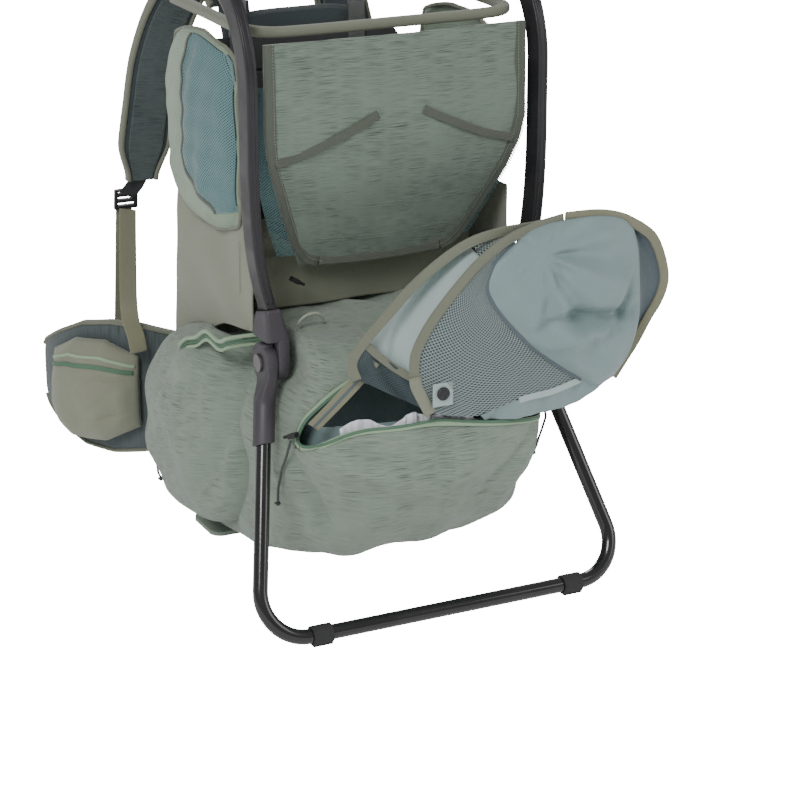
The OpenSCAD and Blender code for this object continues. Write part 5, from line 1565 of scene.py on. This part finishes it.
@dataclass
class Sunshade(Assembly):
    """Drawn-out sunshade: coated hood, net fan, lining, hoop tapes, brim and snap."""

    rear_hoop: Sequence = ((-24, -347, 235), (-35, -347, 256), (-41, -347, 270), (-42, -347, 290), (-38, -347,
        307), (-22, -347, 333), (5, -347, 363), (33, -347, 389), (66, -347, 409), (101, -345, 418), (132,
        -340, 421))
    front_hoop: Sequence = ((-100, -332, 278), (-105, -332, 296), (-94, -332, 314), (-68, -332, 339), (-40,
        -332, 365), (-6, -333, 390), (28, -334, 407), (63, -336, 414), (98, -338, 416), (132, -338, 419))
    window: Sequence = ((151, -352, 247), (124, -356, 266), (88, -359, 294), (54, -360, 330), (35, -358, 359),
        (42, -354, 382), (57, -350, 395), (73, -347, 403))
    brim_in: Sequence = ((192, -350, 243), (208, -354, 269), (219, -352, 299), (223, -348, 325), (225, -342,
        353), (225, -338, 377), (220, -336, 397))
    brim: Sequence = ((203, -330, 235), (217, -330, 254), (231, -329, 272), (245, -328, 294), (257, -328,
        311), (264, -328, 328), (264, -328, 345), (257, -328, 368), (247, -329, 385), (231, -331, 398))
    pinch: tuple = (0.098, -0.360, 0.391)
    tucks: Sequence = (
        Crease([[116, -360, 374], [106, -360, 348], [96, -360, 325]], 0.009, 0.008),
        Crease([[79, -360, 308], [123, -360, 327], [162, -360, 322], [192, -360, 312]], 0.010, 0.008),
        Crease([[157, -360, 292], [192, -360, 304], [198, -360, 329], [213, -360, 362]], 0.010, 0.007),
        Crease([[84, -360, 290], [152, -360, 304], [180, -360, 298]], -0.008, 0.009),
        Crease([[133, -360, 366], [180, -360, 350], [200, -360, 350]], -0.007, 0.014),
        Crease([[120, -360, 300], [150, -360, 272], [180, -360, 262]], 0.004, 0.010),
    )

    def folds(self, grid: Grid, height: float) -> Grid:
        """Pushes cloth in and out in folds that fan out from where it is gathered.

        The height is a sum of two cosines of the angle round the gather, times a bell of the distance.
        """
        dx, dz = grid[..., 0] - self.pinch[0], grid[..., 2] - self.pinch[2]
        angle, away = np.arctan2(dz, dx), np.hypot(dx, dz)
        wave = np.cos(8 * angle + 0.6 + 9 * away) + 0.7 * np.cos(13 * angle + 2.0 - 14 * away)
        band = smoothstep(away, 0.004, 0.035) * (1 - smoothstep(away, 0.06,
            0.17)) * (0.25 + 0.75 * hill(angle, -0.65, 0.85))
        return grid + (height * wave * band)[..., None] * [0, 1.0, 0]

    def build(self) -> None:
        """Makes every piece of the sunshade."""
        rear, front, window, inner, brim = (curve(p, 90) for p in (self.rear_hoop, self.front_hoop,
            self.window, self.brim_in, self.brim))
        top = curve([[73, -347, 403], [84, -346, 412], [101, -345, 418], [135, -343, 420], [175, -341, 419],
            [205, -338, 411], [220, -336, 397]])
        hem = curve([[151, -352, 247], [170, -352, 238], [192, -350, 243]])
        coat = coons(hem, top, window, inner, 140, 120)
        u, v = np.meshgrid(np.linspace(0, 1, 120), np.linspace(0, 1, 140))
        pillow = np.sin(np.pi * u) ** 0.7 * np.sin(np.pi * np.clip(v, 0, 1)) ** 0.7
        coat[..., 1] -= 0.022 * pillow
        edge = np.minimum(1, 12 * np.minimum(np.minimum(u, 1 - u), np.minimum(v, 1 - v)))
        creased = self.folds(coat, 0.004)
        flat = coat * [1, 0, 1] + [0, -0.36, 0]
        creased[..., 1] += sum(c.shift(flat) for c in self.tucks)
        sag = 0.009 * hill(coat[..., 2] + 0.05 * (coat[..., 0] - 0.15), 0.318, 0.009) * smoothstep(coat[...,
            0], 0.09, 0.13)
        creased[..., 1] += sag + ripples(coat, 71, 0.09, 0.0030)
        coat = coat + (creased - coat) * edge[..., None]
        hood = thicken(build("hood_cloth", coat), 0.0008)
        self.show(hood, HOOD, "sunshade", "hood_fabric", "sunshade_hood")
        flap = coons(curve([[40, -346, 217], [76, -346, 213], [112, -346, 214], [154, -346, 221], [193, -349,
            243]]),
                     curve([[32, -351, 225], [78, -353, 236], [114, -353, 238], [151, -352, 247], [192, -350,
                         243]]),
                     mm([[40, -346, 217], [32, -351, 225]]), mm([[193, -349, 243], [192.2, -350, 243]]), 24, 90)
        flap[..., 1] += ripples(flap, 72, 0.05, 0.0016)
        self.show(thicken(build("hood_hem_cloth", flap), 0.0008), HOOD, "sunshade", "hood_fabric")
        base = curve([[-24, -347, 235], [3, -349, 228], [33, -351, 225], [80, -353, 236], [115, -353, 239],
            [151, -352, 247]])
        net = coons(base, mm([[66, -347, 409], [73, -347, 403]]), rear[: int(90 * 0.72)], window, 100, 90)
        un, vn = np.meshgrid(np.linspace(0, 1, 90), np.linspace(0, 1, 100))
        net[..., 1] -= 0.010 * np.sin(np.pi * un) * np.sin(np.pi * vn)
        self.show(build("hood_net_fan", net), HOOD_NET, "sunshade", "hood_fabric")
        back = net + [0, 0.0012, 0]
        back[..., 1] += 0.020 * np.sin(np.pi * un) * np.sin(np.pi * vn)
        self.show(build("hood_net_shadow", back), SLATE, "sunshade", "hood_fabric")
        cut = [0, 13, 58, 90]
        for n, (finish, name) in enumerate(((DARK_NET, "hood_foot_net"), (LINING, "hood_side_lining"),
            (HOOD_NET, "hood_top_net"))):
            s = slice(cut[n], min(cut[n + 1] + 1, 90))
            panel = np.linspace(front[s], rear[s] + [0, 0.004, 0], 40, axis=1)
            w = np.linspace(0, 1, 40)[None]
            panel[..., 1] += 0.018 * np.sin(np.pi * w) * (1 if n == 1 else 0.4)
            panel[..., 1] += 0.004 * np.sin(9 * w + 5 * np.linspace(0, 1, panel.shape[0])[:,
                None]) * np.sin(np.pi * w)
            cloth = build(name, panel)
            self.show(cloth if n != 1 else thicken(cloth, 0.0008), finish, "sunshade", "hood_fabric")
        w = np.linspace(0, 1, 60)[:, None]
        bar = front[13] * (1 - w) + rear[13] * w + np.sin(np.pi * w) * [0, 0.008, -0.003]
        self.show(ribbon("hood_foot_binding", bar, 0.008, 0.002, (0, -1, 0.2)), BINDING, "sunshade", "binding")
        brim_face = np.linspace(inner, spaced(brim, 90), 24, axis=1)
        brim_face[..., 1] += 0.010 * np.sin(np.pi * np.linspace(0, 1, 24))[None]
        self.show(thicken(build("brim_lining", brim_face), 0.001), SLATE, "sunshade", "hood_fabric")
        tape = spaced(np.concatenate([brim, curve([[231, -331, 398], [205, -336, 412], [175, -339, 420], [135,
            -340, 422]], 30)[1:]]), 130)
        self.show(ribbon("brim_tape", tape, 0.011, 0.0032, (0, -1, 0)), KHAKI, "sunshade", "binding")
        self.show(ribbon("hoop_tape_rear", rear, 0.0105, 0.0036, (-0.3, -1, 0)), BINDING, "sunshade",
            "binding", "sunshade_hoops")
        self.show(ribbon("hoop_tape_front", front, 0.0105, 0.0036, (-0.3, -1, 0)), BINDING, "sunshade",
            "binding")
        for name, line, off in (("rear", rear, 0.0036), ("front", front, 0.0036)):
            side_step = unit(np.cross(np.gradient(line, axis=0), [0, 1.0, 0])) * off
            self.show(stitches(f"hoop_seam_{name}", line - side_step + [0, -0.002, 0]), THREAD, "sunshade",
                "binding")
        self.show(ribbon("window_binding", window + [0, -0.001, 0], 0.0055, 0.0022, (0, -1, 0)), SLATE,
            "sunshade", "binding")
        self.show(ribbon("window_hem", base[34:] + [0, -0.001, 0], 0.007, 0.002, (0, -1, 0)), LINING,
            "sunshade", "binding")
        sleeve = spaced(np.concatenate([rear[:14], rear[14:15]]), 20)
        self.show(tube("hoop_sleeve", sleeve + [0, -0.0008, 0], box_outline(0.0128, 0.0062, 24, 3), (0, -1,
            0)), OLIVE, "sunshade", "binding")
        tab = np.stack(np.meshgrid(np.linspace(-0.024, -0.001, 16), np.linspace(0.243, 0.268, 16)), 2)
        patch = np.stack([tab[..., 0], np.full(tab.shape[:2], -0.3535), tab[..., 1]], 2)
        self.show(thicken(build("snap_patch", patch), 0.001), LINING, "sunshade", "hood_fabric")
        r = np.array([0.0066, 0.007, 0.007, 0.0058, 0.0046, 0.0044, 0.0001])[:, None]
        d = np.array([0.0, 0.0006, 0.0022, 0.0032, 0.0034, 0.0026, 0.0026])[:, None]
        a = np.linspace(0, 2 * np.pi, 48, endpoint=False)[None]
        cap = np.stack([-0.013 + r * np.cos(a), -0.3545 - d + 0 * a, 0.257 + r * np.sin(a)], 2)
        self.show(build("snap_cap", cap, Wrap.COLUMNS, True, inside_out(cap)), PLASTIC, "sunshade",
            "black_plastic", "sunshade_snap")


def main() -> None:
    """Builds the studio and the carrier's sub-assemblies in order."""
    logging.basicConfig(level=logging.INFO, format="%(name)s: %(message)s")
    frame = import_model()
    Studio().build()
    for group in (LowerBag, Skeleton, Kickstand, Cockpit, Harness, Sunshade):
        group(frame).build()
        LOG.info("%s done", group.__name__)


if __name__ == "__main__":
    main()
